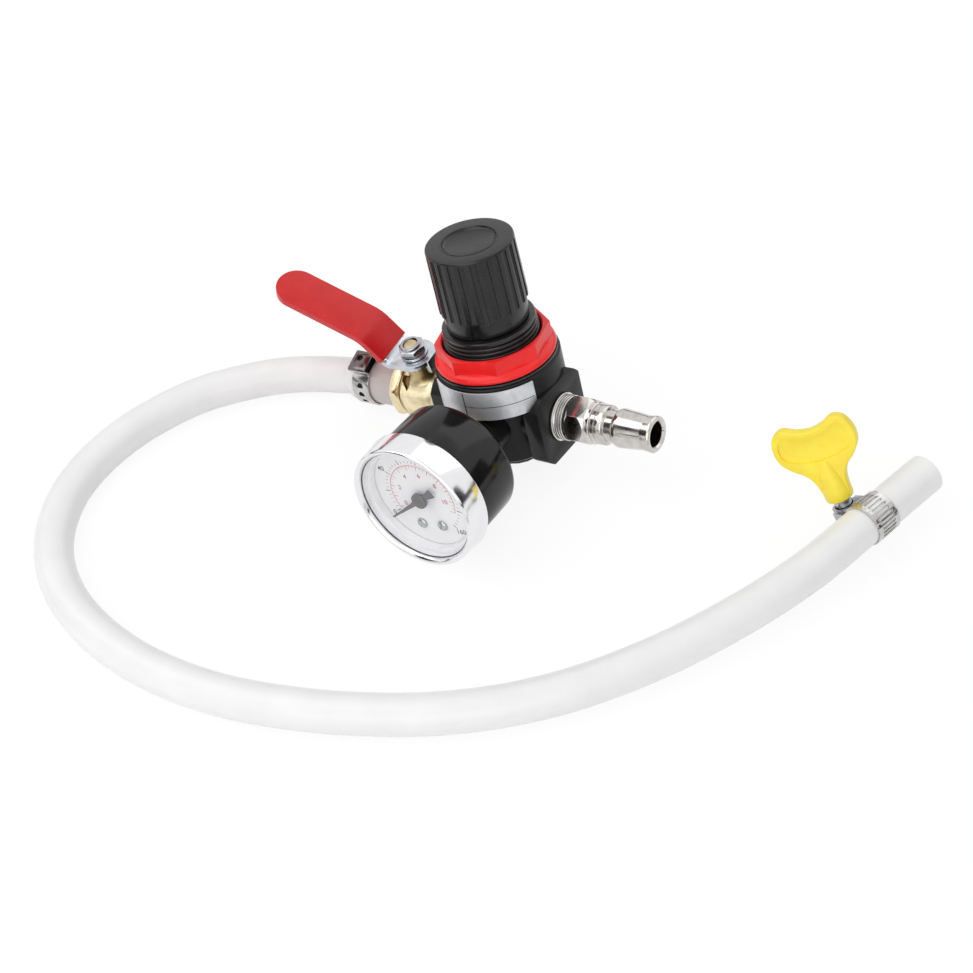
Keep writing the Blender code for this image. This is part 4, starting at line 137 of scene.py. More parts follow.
class Nodes:
    """A tree of shader nodes."""

    def __init__(self, tree):
        self.tree = tree

    def feed(self, socket, value):
        """Gives a socket a constant, or what varies."""
        if isinstance(value, Value):
            self.tree.links.new(value.socket, socket)
        else:
            socket.default_value = value

    def node(self, kind, settings=None, inputs=(), output=0):
        """A node of this kind: its settings first, then its sockets' values or links."""
        made = self.tree.nodes.new("ShaderNode" + kind)
        for key, value in (settings or {}).items():
            setattr(made, key, value)
        for key, value in inputs.items() if isinstance(inputs, dict) else enumerate(inputs):
            self.feed(made.inputs[key], value)
        return Value(self, made.outputs[output])

    def math(self, operation, *inputs):
        return self.node("Math", {"operation": operation}, inputs)

    def spread(self, value, low, high, first=0.0, second=1.0):
        """The value's stretch from low to high, read from first to second."""
        return self.node("MapRange", inputs=[value, low, high, first, second])

    def seen(self):
        """1 where the camera sees this itself, in bright metal or through the lens."""
        rays = self.node("LightPath").socket.node.outputs
        itself, mirrored, through = (
            Value(self, rays[name]) for name in ("Is Camera Ray", "Is Glossy Ray", "Is Transmission Ray")
        )
        return self.math("MAXIMUM", self.math("MAXIMUM", itself, mirrored), through)


class Finish(Nodes):
    """A material: its surface shader and the nodes that vary it."""

    def __init__(self, name, colour, roughness, **more):
        self.material = bpy.data.materials.new(name)
        self.material.use_nodes = True
        super().__init__(self.material.node_tree)
        self.surface = self.tree.nodes["Principled BSDF"]
        self.set("Base Color", (*colour, 1.0))
        self.set("Roughness", roughness)
        for key, value in more.items():
            self.set(key.replace("_", " ").title().replace("Ior", "IOR"), value)

    def set(self, socket, value):
        self.feed(self.surface.inputs[socket], value)

    def place(self, place=Matrix()):
        """Where a point lies in this frame, in millimetres."""
        coordinates = self.node("TexCoord", output="Object")
        return self.node("Mapping", {"vector_type": "TEXTURE"}, {
            "Vector": coordinates,
            "Location": place.translation,
            "Rotation": place.to_euler(),
            "Scale": (MM, MM, MM),
        })

    def parts(self, vector):
        """A vector's x, y and z."""
        split = self.node("SeparateXYZ", inputs=[vector]).socket.node
        return [Value(self, socket) for socket in split.outputs]

    def reach(self, x, y):
        """A point's distance from the axis."""
        return self.math("SQRT", x * x + y * y)

    def bearing(self, x, y):
        """A point's turn round the axis, in degrees."""
        return self.math("ARCTAN2", y, x) * (180 / math.pi)

    def noise(self, vector, size, detail=3.0):
        """Soft random patches of about this size, from 0 to 1."""
        return self.node("TexNoise", inputs={"Vector": vector, "Scale": 1 / size, "Detail": detail, "Roughness": 0.5})

    def blend(self, share, first, second):
        """A colour between two, by a share."""
        first, second = (one if isinstance(one, Value) else (*one, 1.0) for one in (first, second))
        return self.node("Mix", {"data_type": "RGBA"}, {"Factor": share, 6: first, 7: second}, output=2)

    def stain(self, share, colour):
        """Lays a colour over the one that is there, by a share."""
        below = Value(self, self.surface.inputs["Base Color"].links[0].from_socket)
        self.set("Base Color", self.blend(share, below, colour))

    def bump(self, height, depth):
        """Relief of this depth in millimetres."""
        self.set("Normal", self.node("Bump", inputs={"Strength": 1.0, "Distance": depth * MM, "Height": height}))


def moulded(name, colour, roughness, grain=0.25, depth=0.006, wear=0.10, **more):
    """Moulded plastic or paint: a fine grain, and a gloss that varies a little."""
    finish = Finish(name, colour, roughness, **more)
    place = finish.place()
    fine = finish.noise(place, grain, 2.0)
    broad = finish.noise(place, 6.0, 3.0)
    finish.set("Roughness", finish.spread(broad, 0.3, 0.7, roughness - wear / 2, roughness + wear / 2))
    pale = tuple(min(1.0, part * 1.12 + 0.004) for part in colour)
    finish.set("Base Color", finish.blend(finish.spread(broad, 0.35, 0.75), colour, pale))
    finish.bump(fine, depth)
    return finish


def metal(name, colour, roughness, place=Matrix(), lines=0.0, grain=0.4, depth=0.002, dark=0.75):
    """Bare or plated metal: turned lines round the frame's axis where it has one, and faint stains."""
    finish = Finish(name, colour, roughness, metallic=1.0)
    spot = finish.place(place)
    broad = finish.noise(spot, 3.5, 4.0)
    fine = finish.noise(spot, grain, 2.0)
    shade = tuple(part * dark for part in colour)
    finish.set("Base Color", finish.blend(finish.spread(broad, 0.25, 0.7), shade, colour))
    finish.set("Roughness", finish.spread(broad, 0.3, 0.7, roughness * 1.3, roughness * 0.8))
    if lines:
        along = finish.parts(spot)[2]
        fine = fine * 0.3 + finish.node("TexNoise", {"noise_dimensions": "1D"}, {
            "W": along, "Scale": 1 / lines, "Detail": 2.0,
        })
    finish.bump(fine, depth)
    return finish


# The finishes: colour, roughness, then the size and depth of the grain in millimetres
BLACK_CAST = moulded("black_cast", (0.008, 0.008, 0.009), 0.34, grain=0.35, depth=0.010, specular_ior_level=0.22)
BLACK_RESIN = moulded("black_resin", (0.010, 0.010, 0.011), 0.26, grain=0.22, depth=0.006, specular_ior_level=0.40)
BONNET_RESIN = moulded("bonnet_resin", (0.009, 0.009, 0.010), 0.24, grain=0.3, depth=0.004)
RED_RESIN = moulded("red_resin", (0.86, 0.018, 0.018), 0.24, grain=2.2, depth=0.02, specular_ior_level=0.35)
RED_VINYL = moulded("red_vinyl", (0.57, 0.014, 0.016), 0.24, grain=1.5, depth=0.012, specular_ior_level=0.35)
BLACK_RUBBER = moulded("black_rubber", (0.018, 0.018, 0.018), 0.6)
WHITE_RESIN = moulded("white_resin", (0.62, 0.62, 0.60), 0.45)
YELLOW_RESIN = moulded("yellow_resin", (0.97, 0.75, 0.05), 0.36, grain=1.6, depth=0.012)
BLACK_ENAMEL = moulded(
    "black_enamel", (0.007, 0.007, 0.008), 0.14, grain=1.4, depth=0.006, wear=0.05, specular_ior_level=0.38,
)
POINTER_GREY = moulded("pointer_grey", (0.075, 0.075, 0.08), 0.45)
POINTER_INK = moulded("black_ink", (0.05, 0.05, 0.06), 0.5)
RED_INK = moulded("red_ink", (0.55, 0.06, 0.08), 0.5)
RIM_WHITE = moulded("rim_white", (0.86, 0.86, 0.88), 0.3)
TURNED_BRASS = metal("turned_brass", (0.88, 0.74, 0.48), 0.22, VALVE, lines=0.12, depth=0.004)
CAST_BRASS = metal("cast_brass", (0.93, 0.80, 0.53), 0.38, grain=0.35, depth=0.035, dark=0.74)
ZINC = metal("zinc", (0.66, 0.70, 0.75), 0.28, grain=0.6, depth=0.006)
SPRING_STEEL = metal("spring_steel", (0.30, 0.30, 0.31), 0.35)
CHROME = metal("chrome", (0.86, 0.86, 0.87), 0.06, depth=0.0005, dark=0.95)
BEZEL_CHROME = metal("bezel_chrome", (0.85, 0.85, 0.87), 0.13, depth=0.0005, dark=0.95)
DARK_ZINC = metal("dark_zinc", (0.50, 0.51, 0.53), 0.24, grain=0.5, depth=0.005)
# A black sheet used only for painted shadow inside the hose clamp
PAINTED_SHADOW_SHEET = metal("painted_shadow_sheet", (0.05, 0.05, 0.05), 0.45)
SPINDLE_BRASS = metal("spindle_brass", (0.17, 0.13, 0.09), 0.40)
STEM_BRASS = metal("stem_brass", (0.60, 0.50, 0.33), 0.42, grain=0.3, depth=0.012)
THREAD_WHITE = metal("thread_white", (0.78, 0.77, 0.74), 0.30, PLUG, lines=0.3, depth=0.01)
NICKEL = metal("nickel", (0.66, 0.63, 0.60), 0.15, PLUG, lines=0.15, depth=0.003)
STAINLESS = metal("stainless", (0.62, 0.61, 0.60), 0.20, grain=0.5, depth=0.003)
SILVER_FILM = metal("silver_film", (0.76, 0.77, 0.80), 0.36, REGULATOR, lines=0.1, depth=0.002)


def clear_finish():
    """The clear lens, its gloss a little uneven."""
    finish = Finish("clear_lens", (1, 1, 1), 0.03, alpha=0.05, ior=1.3)
    finish.set("Roughness", finish.spread(finish.noise(finish.place(), 5.0), 0.3, 0.7, 0.02, 0.05))
    return finish


def hose_finish():
    """Milky silicone, greyer where the brass barb shows through."""
    finish = Finish(
        "silicone", (0.85, 0.85, 0.85), 0.32, subsurface_weight=0.25, subsurface_scale=0.003,
        subsurface_radius=(0.7, 0.7, 0.7),
    )
    x, y, z = finish.parts(finish.place(VALVE))
    clouds = finish.noise(finish.place(), 14.0, 3.0)
    milky = finish.blend(finish.spread(clouds, 0.35, 0.7), (0.84, 0.84, 0.84), (0.88, 0.88, 0.88))
    over_barb = finish.spread(z, 61.0, 53.0)
    over_barb = over_barb * finish.spread(abs(x), 12.0, 9.0) * finish.spread(abs(y), 12.0, 9.0)
    finish.set("Base Color", finish.blend(over_barb, milky, (0.60, 0.54, 0.52)))
    finish.set("Roughness", finish.spread(clouds, 0.3, 0.7, 0.28, 0.38))
    finish.bump(finish.noise(finish.place(), 1.2, 2.0), 0.01)
    return finish


# The dial's scales: the turns of their first and last mark, in degrees
OUTER_SCALE = (214, -42)
INNER_SCALE = (211, -16)


def dial_finish():
    """White dial with a black outer scale and a red inner one."""
    finish = Finish("dial_white", (0.80, 0.80, 0.81), 0.5)
    x, y = finish.parts(finish.place(GAUGE))[:2]
    reach = finish.reach(x, y)
    turn = finish.bearing(x, y)
    turn = turn + (turn < -90) * 360

    def ring(inner, outer):
        return (reach > inner) * (reach < outer)

    def ticks(first, last, count, width):
        step = (first - last) / count
        share = (turn - last) / step
        off = abs(finish.math("FRACT", share + 0.5) - 0.5) * math.radians(step) * reach
        return (off < width / 2) * (turn > last - 0.6) * (turn < first + 0.6)

    black = ring(12.7, 13.6) * ticks(*OUTER_SCALE, 40, 0.20)
    black = black + ring(12.5, 14.4) * ticks(*OUTER_SCALE, 8, 0.32)
    red = ring(11.72, 12.0) * (turn > INNER_SCALE[1]) * (turn < INNER_SCALE[0])
    red = red + ring(10.9, 11.8) * ticks(*INNER_SCALE, 33, 0.18)
    red = red + ring(10.2, 11.8) * ticks(*INNER_SCALE, 11, 0.26)
    clouds = finish.spread(finish.noise(finish.place(), 8.0), 0.3, 0.7)
    finish.set("Base Color", finish.blend(clouds, (0.84, 0.84, 0.86), (0.88, 0.88, 0.89)))
    finish.stain(red * 0.8, (0.62, 0.10, 0.12))
    finish.stain(black * 0.8, (0.05, 0.05, 0.06))
    finish.set("Roughness", finish.spread(finish.noise(finish.place(), 3.0), 0.3, 0.7, 0.45, 0.6))
    return finish


def label_finish():
    """Brushed silver plate with two printed lines."""
    finish = SILVER_FILM
    x, y, z = finish.parts(finish.place(REGULATOR))
    turn = finish.bearing(x, y)
    upright = (abs(turn + 90) < 0.6) * (z > 9.3) * (z < 18.6)
    level = (abs(z - 13.8) < 0.12) * (turn > -90) * (turn < -26)
    line = finish.math("MAXIMUM", upright, level)
    finish.stain(line, (0.02, 0.02, 0.02))
    finish.set("Metallic", finish.spread(line, 0, 1, 0.55, 0.0))


def clamp_stains():
    """Painted dark reflection: the hose clamp's steel is darker on its pinched ear."""
    finish = STAINLESS
    x, y, z = finish.parts(finish.place(EAR))
    ear = finish.spread(x, 10.75, 11.0) * (x < 12.5) * (abs(y) < 4.2) * (z > 51) * (z < 59)
    # The dark reddish brown laid on the ear is a painted dark reflection
    finish.stain(ear * 0.85, (0.10, 0.08, 0.08))


# The turn of the valve's flat that has the hollow in it, in degrees
HOLLOW_TURN = -40.5


def valve_stains():
    """Painted shade in the cast brass: browner round the stem's boss, more on one side of it, in the hollow beside it
    and at the hexagon's end.
    """
    finish = CAST_BRASS
    x, y, z = finish.parts(finish.place(VALVE))
    turn = math.radians(HOLLOW_TURN)
    out = x * math.cos(turn) + y * math.sin(turn)
    across = y * math.cos(turn) - x * math.sin(turn)
    hollow = (out < 8.2) * (out > 5.5) * (abs(across) < 4.2) * (z > 33.3) * (z < 37.9)
    end = finish.spread(z, 37.1, 37.7) * finish.spread(z, 38.9, 38.5)
    x, y, z = finish.parts(finish.place(STEM))
    boss = finish.spread(finish.reach(x, y), 5.7, 4.9) * finish.spread(z, 6.6, 7.4)
    boss = boss * finish.spread(x, -4.0, 3.5, 0.15, 0.9)
    share = finish.math("MAXIMUM", finish.math("MAXIMUM", hollow * 0.95, end * 0.75), boss)
    # The brown laid here is painted shade in the corners and hollows round the boss
    finish.stain(share, (0.34, 0.22, 0.08))


label_finish()
clamp_stains()
valve_stains()
# Each of the record's material slots has one of them
FINISH_OF = {
    "black_cast": BLACK_CAST,
    "silver_film": SILVER_FILM,
    "black_plastic": BLACK_RESIN,
    "red_plastic": RED_RESIN,
    "turned_brass": TURNED_BRASS,
    "cast_brass": CAST_BRASS,
    "zinc_steel": ZINC,
    "spring_steel": SPRING_STEEL,
    "black_rubber": BLACK_RUBBER,
    "black_enamel": BLACK_ENAMEL,
    "chrome": CHROME,
    "clear_lens": clear_finish(),
    "dial_white": dial_finish(),
    "pointer_grey": POINTER_GREY,
    "nickel": NICKEL,
    "white_resin": WHITE_RESIN,
    "red_vinyl": RED_VINYL,
    "stainless": STAINLESS,
    "silicone": hose_finish(),
    "yellow_plastic": YELLOW_RESIN,
}


def alone(piece):
    """Selects this piece and nothing else."""
    bpy.ops.object.select_all(action="DESELECT")
    piece.select_set(True)
    bpy.context.view_layer.objects.active = piece


def added(piece, finish, body):
    """Gives a piece its finish and body."""
    piece.data.materials.clear()
    piece.data.materials.append(finish.material)
    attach(piece, body)


def seat(piece, node, finish=None):
    """Puts a piece in a CAD node's place, with that node's finish or another."""
    added(piece, finish or FINISH_OF[SLOT_OF[node]], BODY_OF[node])
    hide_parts(node)
    return piece


def rounded(piece, edge, rings=2, sharp=35):
    """Rounds the edges that are sharper than this and shades the rest smooth."""
    alone(piece)
    if edge:
        bevel = piece.modifiers.new("edges", "BEVEL")
        bevel.width = edge * MM
        bevel.segments = rings
        bevel.limit_method = "ANGLE"
        bevel.angle_limit = math.radians(sharp)
        bpy.ops.object.modifier_apply(modifier="edges")
    bpy.ops.object.shade_smooth_by_angle(angle=math.radians(sharp))
    return piece


def merged(piece, distance, angle):
    """Merges points this close, in millimetres, and faces this flat, in degrees."""
    alone(piece)
    bpy.ops.object.mode_set(mode="EDIT")
    bpy.ops.mesh.select_all(action="SELECT")
    bpy.ops.mesh.remove_doubles(threshold=distance * MM)
    bpy.ops.mesh.dissolve_limited(angle_limit=math.radians(angle))
    bpy.ops.mesh.normals_make_consistent(inside=False)
    bpy.ops.object.mode_set(mode="OBJECT")
    return piece


def copy_of(node):
    """A merged copy of a CAD node."""
    piece = bpy.data.objects.new(node + "_fine", frame["nodes"][node].data.copy())
    bpy.context.scene.collection.objects.link(piece)
    alone(piece)
    bpy.ops.mesh.customdata_custom_splitnormals_clear()
    return merged(piece, 0.002, 1)


def refined(node, edge, finish=None):
    """A CAD node's copy with its edges rounded, in its place."""
    seat(rounded(copy_of(node), edge, 3), node, finish)


def placed(piece, place):
    """Moves a piece into this frame, with the place in its mesh."""
    alone(piece)
    piece.matrix_world = place @ piece.matrix_world
    bpy.ops.object.transform_apply(location=True, rotation=True, scale=True)
    return piece


def primitive(kind, name, **settings):
    """A fresh primitive, selected alone."""
    bpy.ops.object.select_all(action="DESELECT")
    getattr(bpy.ops.mesh, f"primitive_{kind}_add")(**settings)
    piece = bpy.context.object
    piece.name = name
    bpy.ops.object.transform_apply(location=True, rotation=True, scale=True)
    return piece


def drawn(name, points):
    """Draws a line point after point, in millimetres, and leaves it selected in edit mode."""
    piece = primitive("plane", name, size=MM)
    bpy.ops.object.mode_set(mode="EDIT")
    bpy.ops.mesh.select_all(action="SELECT")
    bpy.ops.mesh.merge(type="CENTER")
    points = [Vector(point) * MM for point in points]
    bpy.ops.transform.translate(value=points[0])
    for before, after in zip(points, points[1:]):
        bpy.ops.mesh.extrude_region_move(TRANSFORM_OT_translate={"value": after - before})
    bpy.ops.mesh.select_all(action="SELECT")
    return piece


def drawing_done():
    """Turns every face outwards and leaves edit mode."""
    bpy.ops.mesh.select_all(action="SELECT")
    bpy.ops.mesh.normals_make_consistent(inside=False)
    bpy.ops.object.mode_set(mode="OBJECT")


def turned(name, outline, steps=96, place=Matrix()):
    """Spins an outline, (radius, height) in millimetres, round the axis."""
    piece = drawn(name, [(radius, 0, height) for radius, height in outline])
    bpy.ops.mesh.spin(steps=steps, angle=2 * math.pi, center=(0, 0, 0), axis=(0, 0, 1))
    bpy.ops.mesh.select_all(action="SELECT")
    bpy.ops.mesh.remove_doubles(threshold=0.001 * MM)
    drawing_done()
    return placed(rounded(piece, 0), place)


def pin(name, radius, low, high, steps, place=Matrix()):
    """A round pin, to cut a hole with."""
    return turned(name, [(0, low), (radius, low), (radius, high), (0, high)], steps, place)


def walled(piece, thickness, offset):
    """Gives a sheet a wall, to its inside at offset -1 or to both sides at 0."""
    alone(piece)
    wall = piece.modifiers.new("wall", "SOLIDIFY")
    wall.thickness = thickness * MM
    wall.offset = offset
    bpy.ops.object.modifier_apply(modifier="wall")
    return piece


# Hose: heights on the barb, radii, and its route's points as in the CAD source, in millimetres
BARB_START, BARB_END, FREE_START = 42.9, 61.1, 63.5
BARB_RADIUS, HOSE_RADIUS, HOSE_WALL = 7.6, 6.25, 2.1
ROUTE = [
    (-53.04, 16.77, 6.75), (-60.04, 14.57, 6.35), (-71.64, 8.37, 6.30), (-83.44, -1.73, 6.30),
    (-92.64, -12.63, 6.30), (-99.24, -25.73, 6.30), (-103.34, -39.33, 6.30), (-104.64, -54.13, 6.30),
    (-102.54, -69.13, 6.30), (-96.24, -83.13, 6.30), (-87.24, -94.33, 6.30), (-76.24, -102.63, 6.30),
    (-64.94, -108.13, 6.30), (-53.04, -111.83, 6.30), (-39.64, -114.23, 6.30), (-24.74, -114.83, 6.30),
    (-8.04, -113.33, 6.30), (7.06, -109.93, 6.30), (32.36, -100.93, 6.30), (57.96, -87.33, 6.30),
    (79.96, -69.63, 6.55), (99.06, -46.93, 7.40), (114.46, -21.83, 8.50), (125.86, 2.47, 9.75),
    (133.86, 27.17, 10.95), (141.56, 52.87, 11.50),
]


def smooth_through(points, step):
    """Even steps along a smooth curve through the points."""
    path = [2 * points[0] - points[1], *points, 2 * points[-1] - points[-2]]
    fine = []
    for p0, p1, p2, p3 in zip(path, path[1:], path[2:], path[3:]):
        knots = [0.0]
        for first, second in ((p0, p1), (p1, p2), (p2, p3)):
            knots.append(knots[-1] + math.sqrt((second - first).length))
        k0, k1, k2, k3 = knots
        for i in range(16):
            t = k1 + (k2 - k1) * i / 16
            # Three rounds of blending between the four points
            a1 = p0 * ((k1 - t) / (k1 - k0)) + p1 * ((t - k0) / (k1 - k0))
            a2 = p1 * ((k2 - t) / (k2 - k1)) + p2 * ((t - k1) / (k2 - k1))
            a3 = p2 * ((k3 - t) / (k3 - k2)) + p3 * ((t - k2) / (k3 - k2))
            b1 = a1 * ((k2 - t) / (k2 - k0)) + a2 * ((t - k0) / (k2 - k0))
            b2 = a2 * ((k3 - t) / (k3 - k1)) + a3 * ((t - k1) / (k3 - k1))
            fine.append(b1 * ((k2 - t) / (k2 - k1)) + b2 * ((t - k1) / (k2 - k1)))
    fine.append(points[-1])
    length = sum((b - a).length for a, b in zip(fine, fine[1:]))
    count = max(2, round(length / step))
    even, travelled, index = [fine[0]], 0.0, 0
    for k in range(1, count):
        goal = length * k / count
        while travelled + (fine[index + 1] - fine[index]).length < goal:
            travelled += (fine[index + 1] - fine[index]).length
            index += 1
        share = (goal - travelled) / (fine[index + 1] - fine[index]).length
        even.append(fine[index].lerp(fine[index + 1], share))
    return even + [fine[-1]]


def hose():
    """A milky tube, swollen over the barb and open at its far end."""
    first, last, free_start = (VALVE @ Vector((0, 0, z * MM)) for z in (BARB_START, BARB_END, FREE_START))
    straight = smooth_through([first, first.lerp(last, 0.5), last], 2 * MM)
    points = straight + smooth_through([free_start] + [Vector(point) * MM for point in ROUTE], 3 * MM)
    curve = bpy.data.curves.new("hose_tube", "CURVE")
    curve.dimensions = "3D"
    curve.bevel_depth = MM
    curve.bevel_resolution = 10
    line = curve.splines.new("POLY")
    line.points.add(len(points) - 1)
    for i, (spot, point) in enumerate(zip(line.points, points)):
        spot.co = (*point, 1)
        spot.radius = BARB_RADIUS if i < len(straight) else HOSE_RADIUS
    tube = bpy.data.objects.new("hose_tube", curve)
    bpy.context.scene.collection.objects.link(tube)
    alone(tube)
    bpy.ops.object.convert(target="MESH")
    walled(tube, HOSE_WALL, -1)
    bpy.ops.object.shade_smooth_by_angle(angle=math.radians(50))
    seat(tube, "hose")
    return tube, points, sum((b - a).length for a, b in zip(points, points[1:]))


tube, path, hose_length = hose()


def block(name, size, centre, turn=(0, 0, 0)):
    """A box of this size in millimetres."""
    piece = primitive("cube", name, size=MM)
    bpy.ops.transform.resize(value=size)
    bpy.ops.object.transform_apply(scale=True)
    return placed(piece, Matrix.Translation(Vector(centre) * MM) @ tilt(turn))


def bar(name, sides, corner, low, high, turn=0.0):
    """A straight bar with this many corners, the first one at this turn."""
    return primitive(
        "cylinder", name, vertices=sides, radius=corner * MM, depth=(high - low) * MM,
        location=(0, 0, (low + high) / 2 * MM), rotation=(0, 0, math.radians(turn - 90)),
    )


def pulled(name, outline, low, high):
    """Fills an outline, (x, y) in millimetres, and pulls it up."""
    piece = drawn(name, [(x, y, low) for x, y in outline])
    bpy.ops.mesh.edge_face_add()
    bpy.ops.mesh.extrude_region_move(TRANSFORM_OT_translate={"value": (0, 0, (high - low) * MM)})
    drawing_done()
    return piece


def shaped(piece, tool, how="DIFFERENCE"):
    """Cuts, keeps or adds by another closed piece, which is used up."""
    alone(piece)
    work = piece.modifiers.new("shape", "BOOLEAN")
    work.operation = how
    work.solver = "EXACT"
    work.object = tool
    bpy.ops.object.modifier_apply(modifier="shape")
    bpy.data.objects.remove(tool)
    return piece


def around(piece, turns):
    """Copies the piece round the upright axis, each with its own mesh, and joins the copies."""
    copies = []
    for turn in turns:
        copy = bpy.data.objects.new(piece.name, piece.data.copy())
        copy.matrix_world = rotation("Z", turn)
        bpy.context.scene.collection.objects.link(copy)
        copies.append(copy)
    bpy.data.objects.remove(piece)
    alone(copies[0])
    for copy in copies:
        copy.select_set(True)
    bpy.ops.object.join()
    bpy.ops.object.transform_apply(location=True, rotation=True, scale=True)
    return copies[0]


def nut_shape(name, sides, corner, low, high, turn, chamfer, both=False):
    """A bar with corners whose ends are turned down to a cone, as on a nut."""
    flat = corner * math.cos(math.pi / sides)
    wide = corner + 0.2
    rise = chamfer * (wide - flat + 0.15) / (corner - flat + 0.15)
    outline = [(0, low), (flat - 0.15, low), (wide, low + rise)] if both else [(0, low), (wide, low)]
    outline += [(wide, high - rise), (flat - 0.15, high), (0, high)]
    cone = turned(name + "_cone", outline, 128)
    return shaped(bar(name, sides, corner, low - 1, high + 1, turn), cone, "INTERSECT")


def finished(piece, node, place, edge=0.0, rings=2, sharp=35, finish=None):
    """Rounds a new piece, puts it in its frame and gives it a CAD node's place."""
    rounded(merged(piece, 0.001, 0.3), edge, rings, sharp)
    placed(piece, place)
    piece.name = node + "_fine"
    seat(piece, node, finish)


def knob():
    """Wide ribs between narrow slots, over a plain skirt with its notch."""
    made = turned("knob", [
        (0, 26.85), (7.3, 26.85), (8.1, 27.1), (8.5, 27.55), (8.62, 27.9), (9.0, 27.9), (9.15, 27.7),
        (13.1, 27.74), (13.5, 27.66), (13.76, 27.4), (13.84, 27.0), (14.1, 6.7), (14.02, 6.35), (13.75, 6.2),
        (13.25, 6.15), (13.25, 0.8), (13.1, 0.45), (12.8, 0.3), (11.2, 0.3), (11.0, 0.5), (11.0, 23.4),
        (6.2, 23.4), (6.2, 7.6), (0, 7.6),
    ], 192)
    slot = rounded(block("knob_slot", (2.4, 1.9, 20.9), (14.62, 0, 16.5), (0, -0.73, 0)), 0.28, 3)
    shaped(made, around(slot, [15 * (i + 0.5) for i in range(24)]))
    shaped(made, around(block("knob_notch", (3, 3.1, 6.0), (13.9, 0, 2.4)), [-70]))
    finished(made, "knob", KNOB, 0.09, 2, 50)


def bonnet():
    """The neck: its crown, the thread's ridges and the flange under the nut."""
    outline = [(3.2, 38.6), (9.9, 38.6), (10.6, 37.9), (10.6, 33.3), (14.2, 33.3), (14.6, 33.2), (14.85, 32.9)]
    for i in range(3):
        top, wide = 32.1 - 1.5 * i, 14.9 + 0.15 * i
        outline += [
            (wide, top), (wide - 0.1, top - 0.18), (wide - 0.5, top - 0.35), (wide - 0.5, top - 0.6),
            (wide + 0.05, top - 0.8), (wide + 0.15, top - 1.0),
        ]
    outline += [
        (15.5, 27.2), (15.5, 20.8), (19.5, 20.8), (19.7, 20.6), (19.7, 20.2), (19.6, 20.1), (16.6, 20.1),
        (16.6, 13.0), (12.7, 13.0), (12.7, 16.4), (11.6, 16.4), (11.6, 31.6), (3.2, 31.6),
    ]
    finished(turned("bonnet", outline, 160), "bonnet", REGULATOR, sharp=40, finish=BONNET_RESIN)


def panel_nut():
    """The red nut: eight flats, turned down at the top, on a round flange."""
    made = nut_shape("panel_nut", 8, 18.5, 21.6, 28.3, -99, 0.25)
    shaped(made, turned("nut_flange", [
        (0, 23.7), (17.3, 23.7), (18.1, 23.45), (18.8, 23.0), (19.25, 22.5), (19.45, 22.05), (19.5, 21.7),
        (19.4, 21.3), (19.1, 21.12), (0, 21.12),
    ], 160), "UNION")
    shaped(made, turned("nut_bore", [
        (0, 29.5), (17.6, 29.5), (16.2, 28.2), (15.8, 27.7), (15.8, 20.0), (0, 20.0),
    ], 128))
    finished(made, "panel_nut", REGULATOR, 0.4, 4, 24)


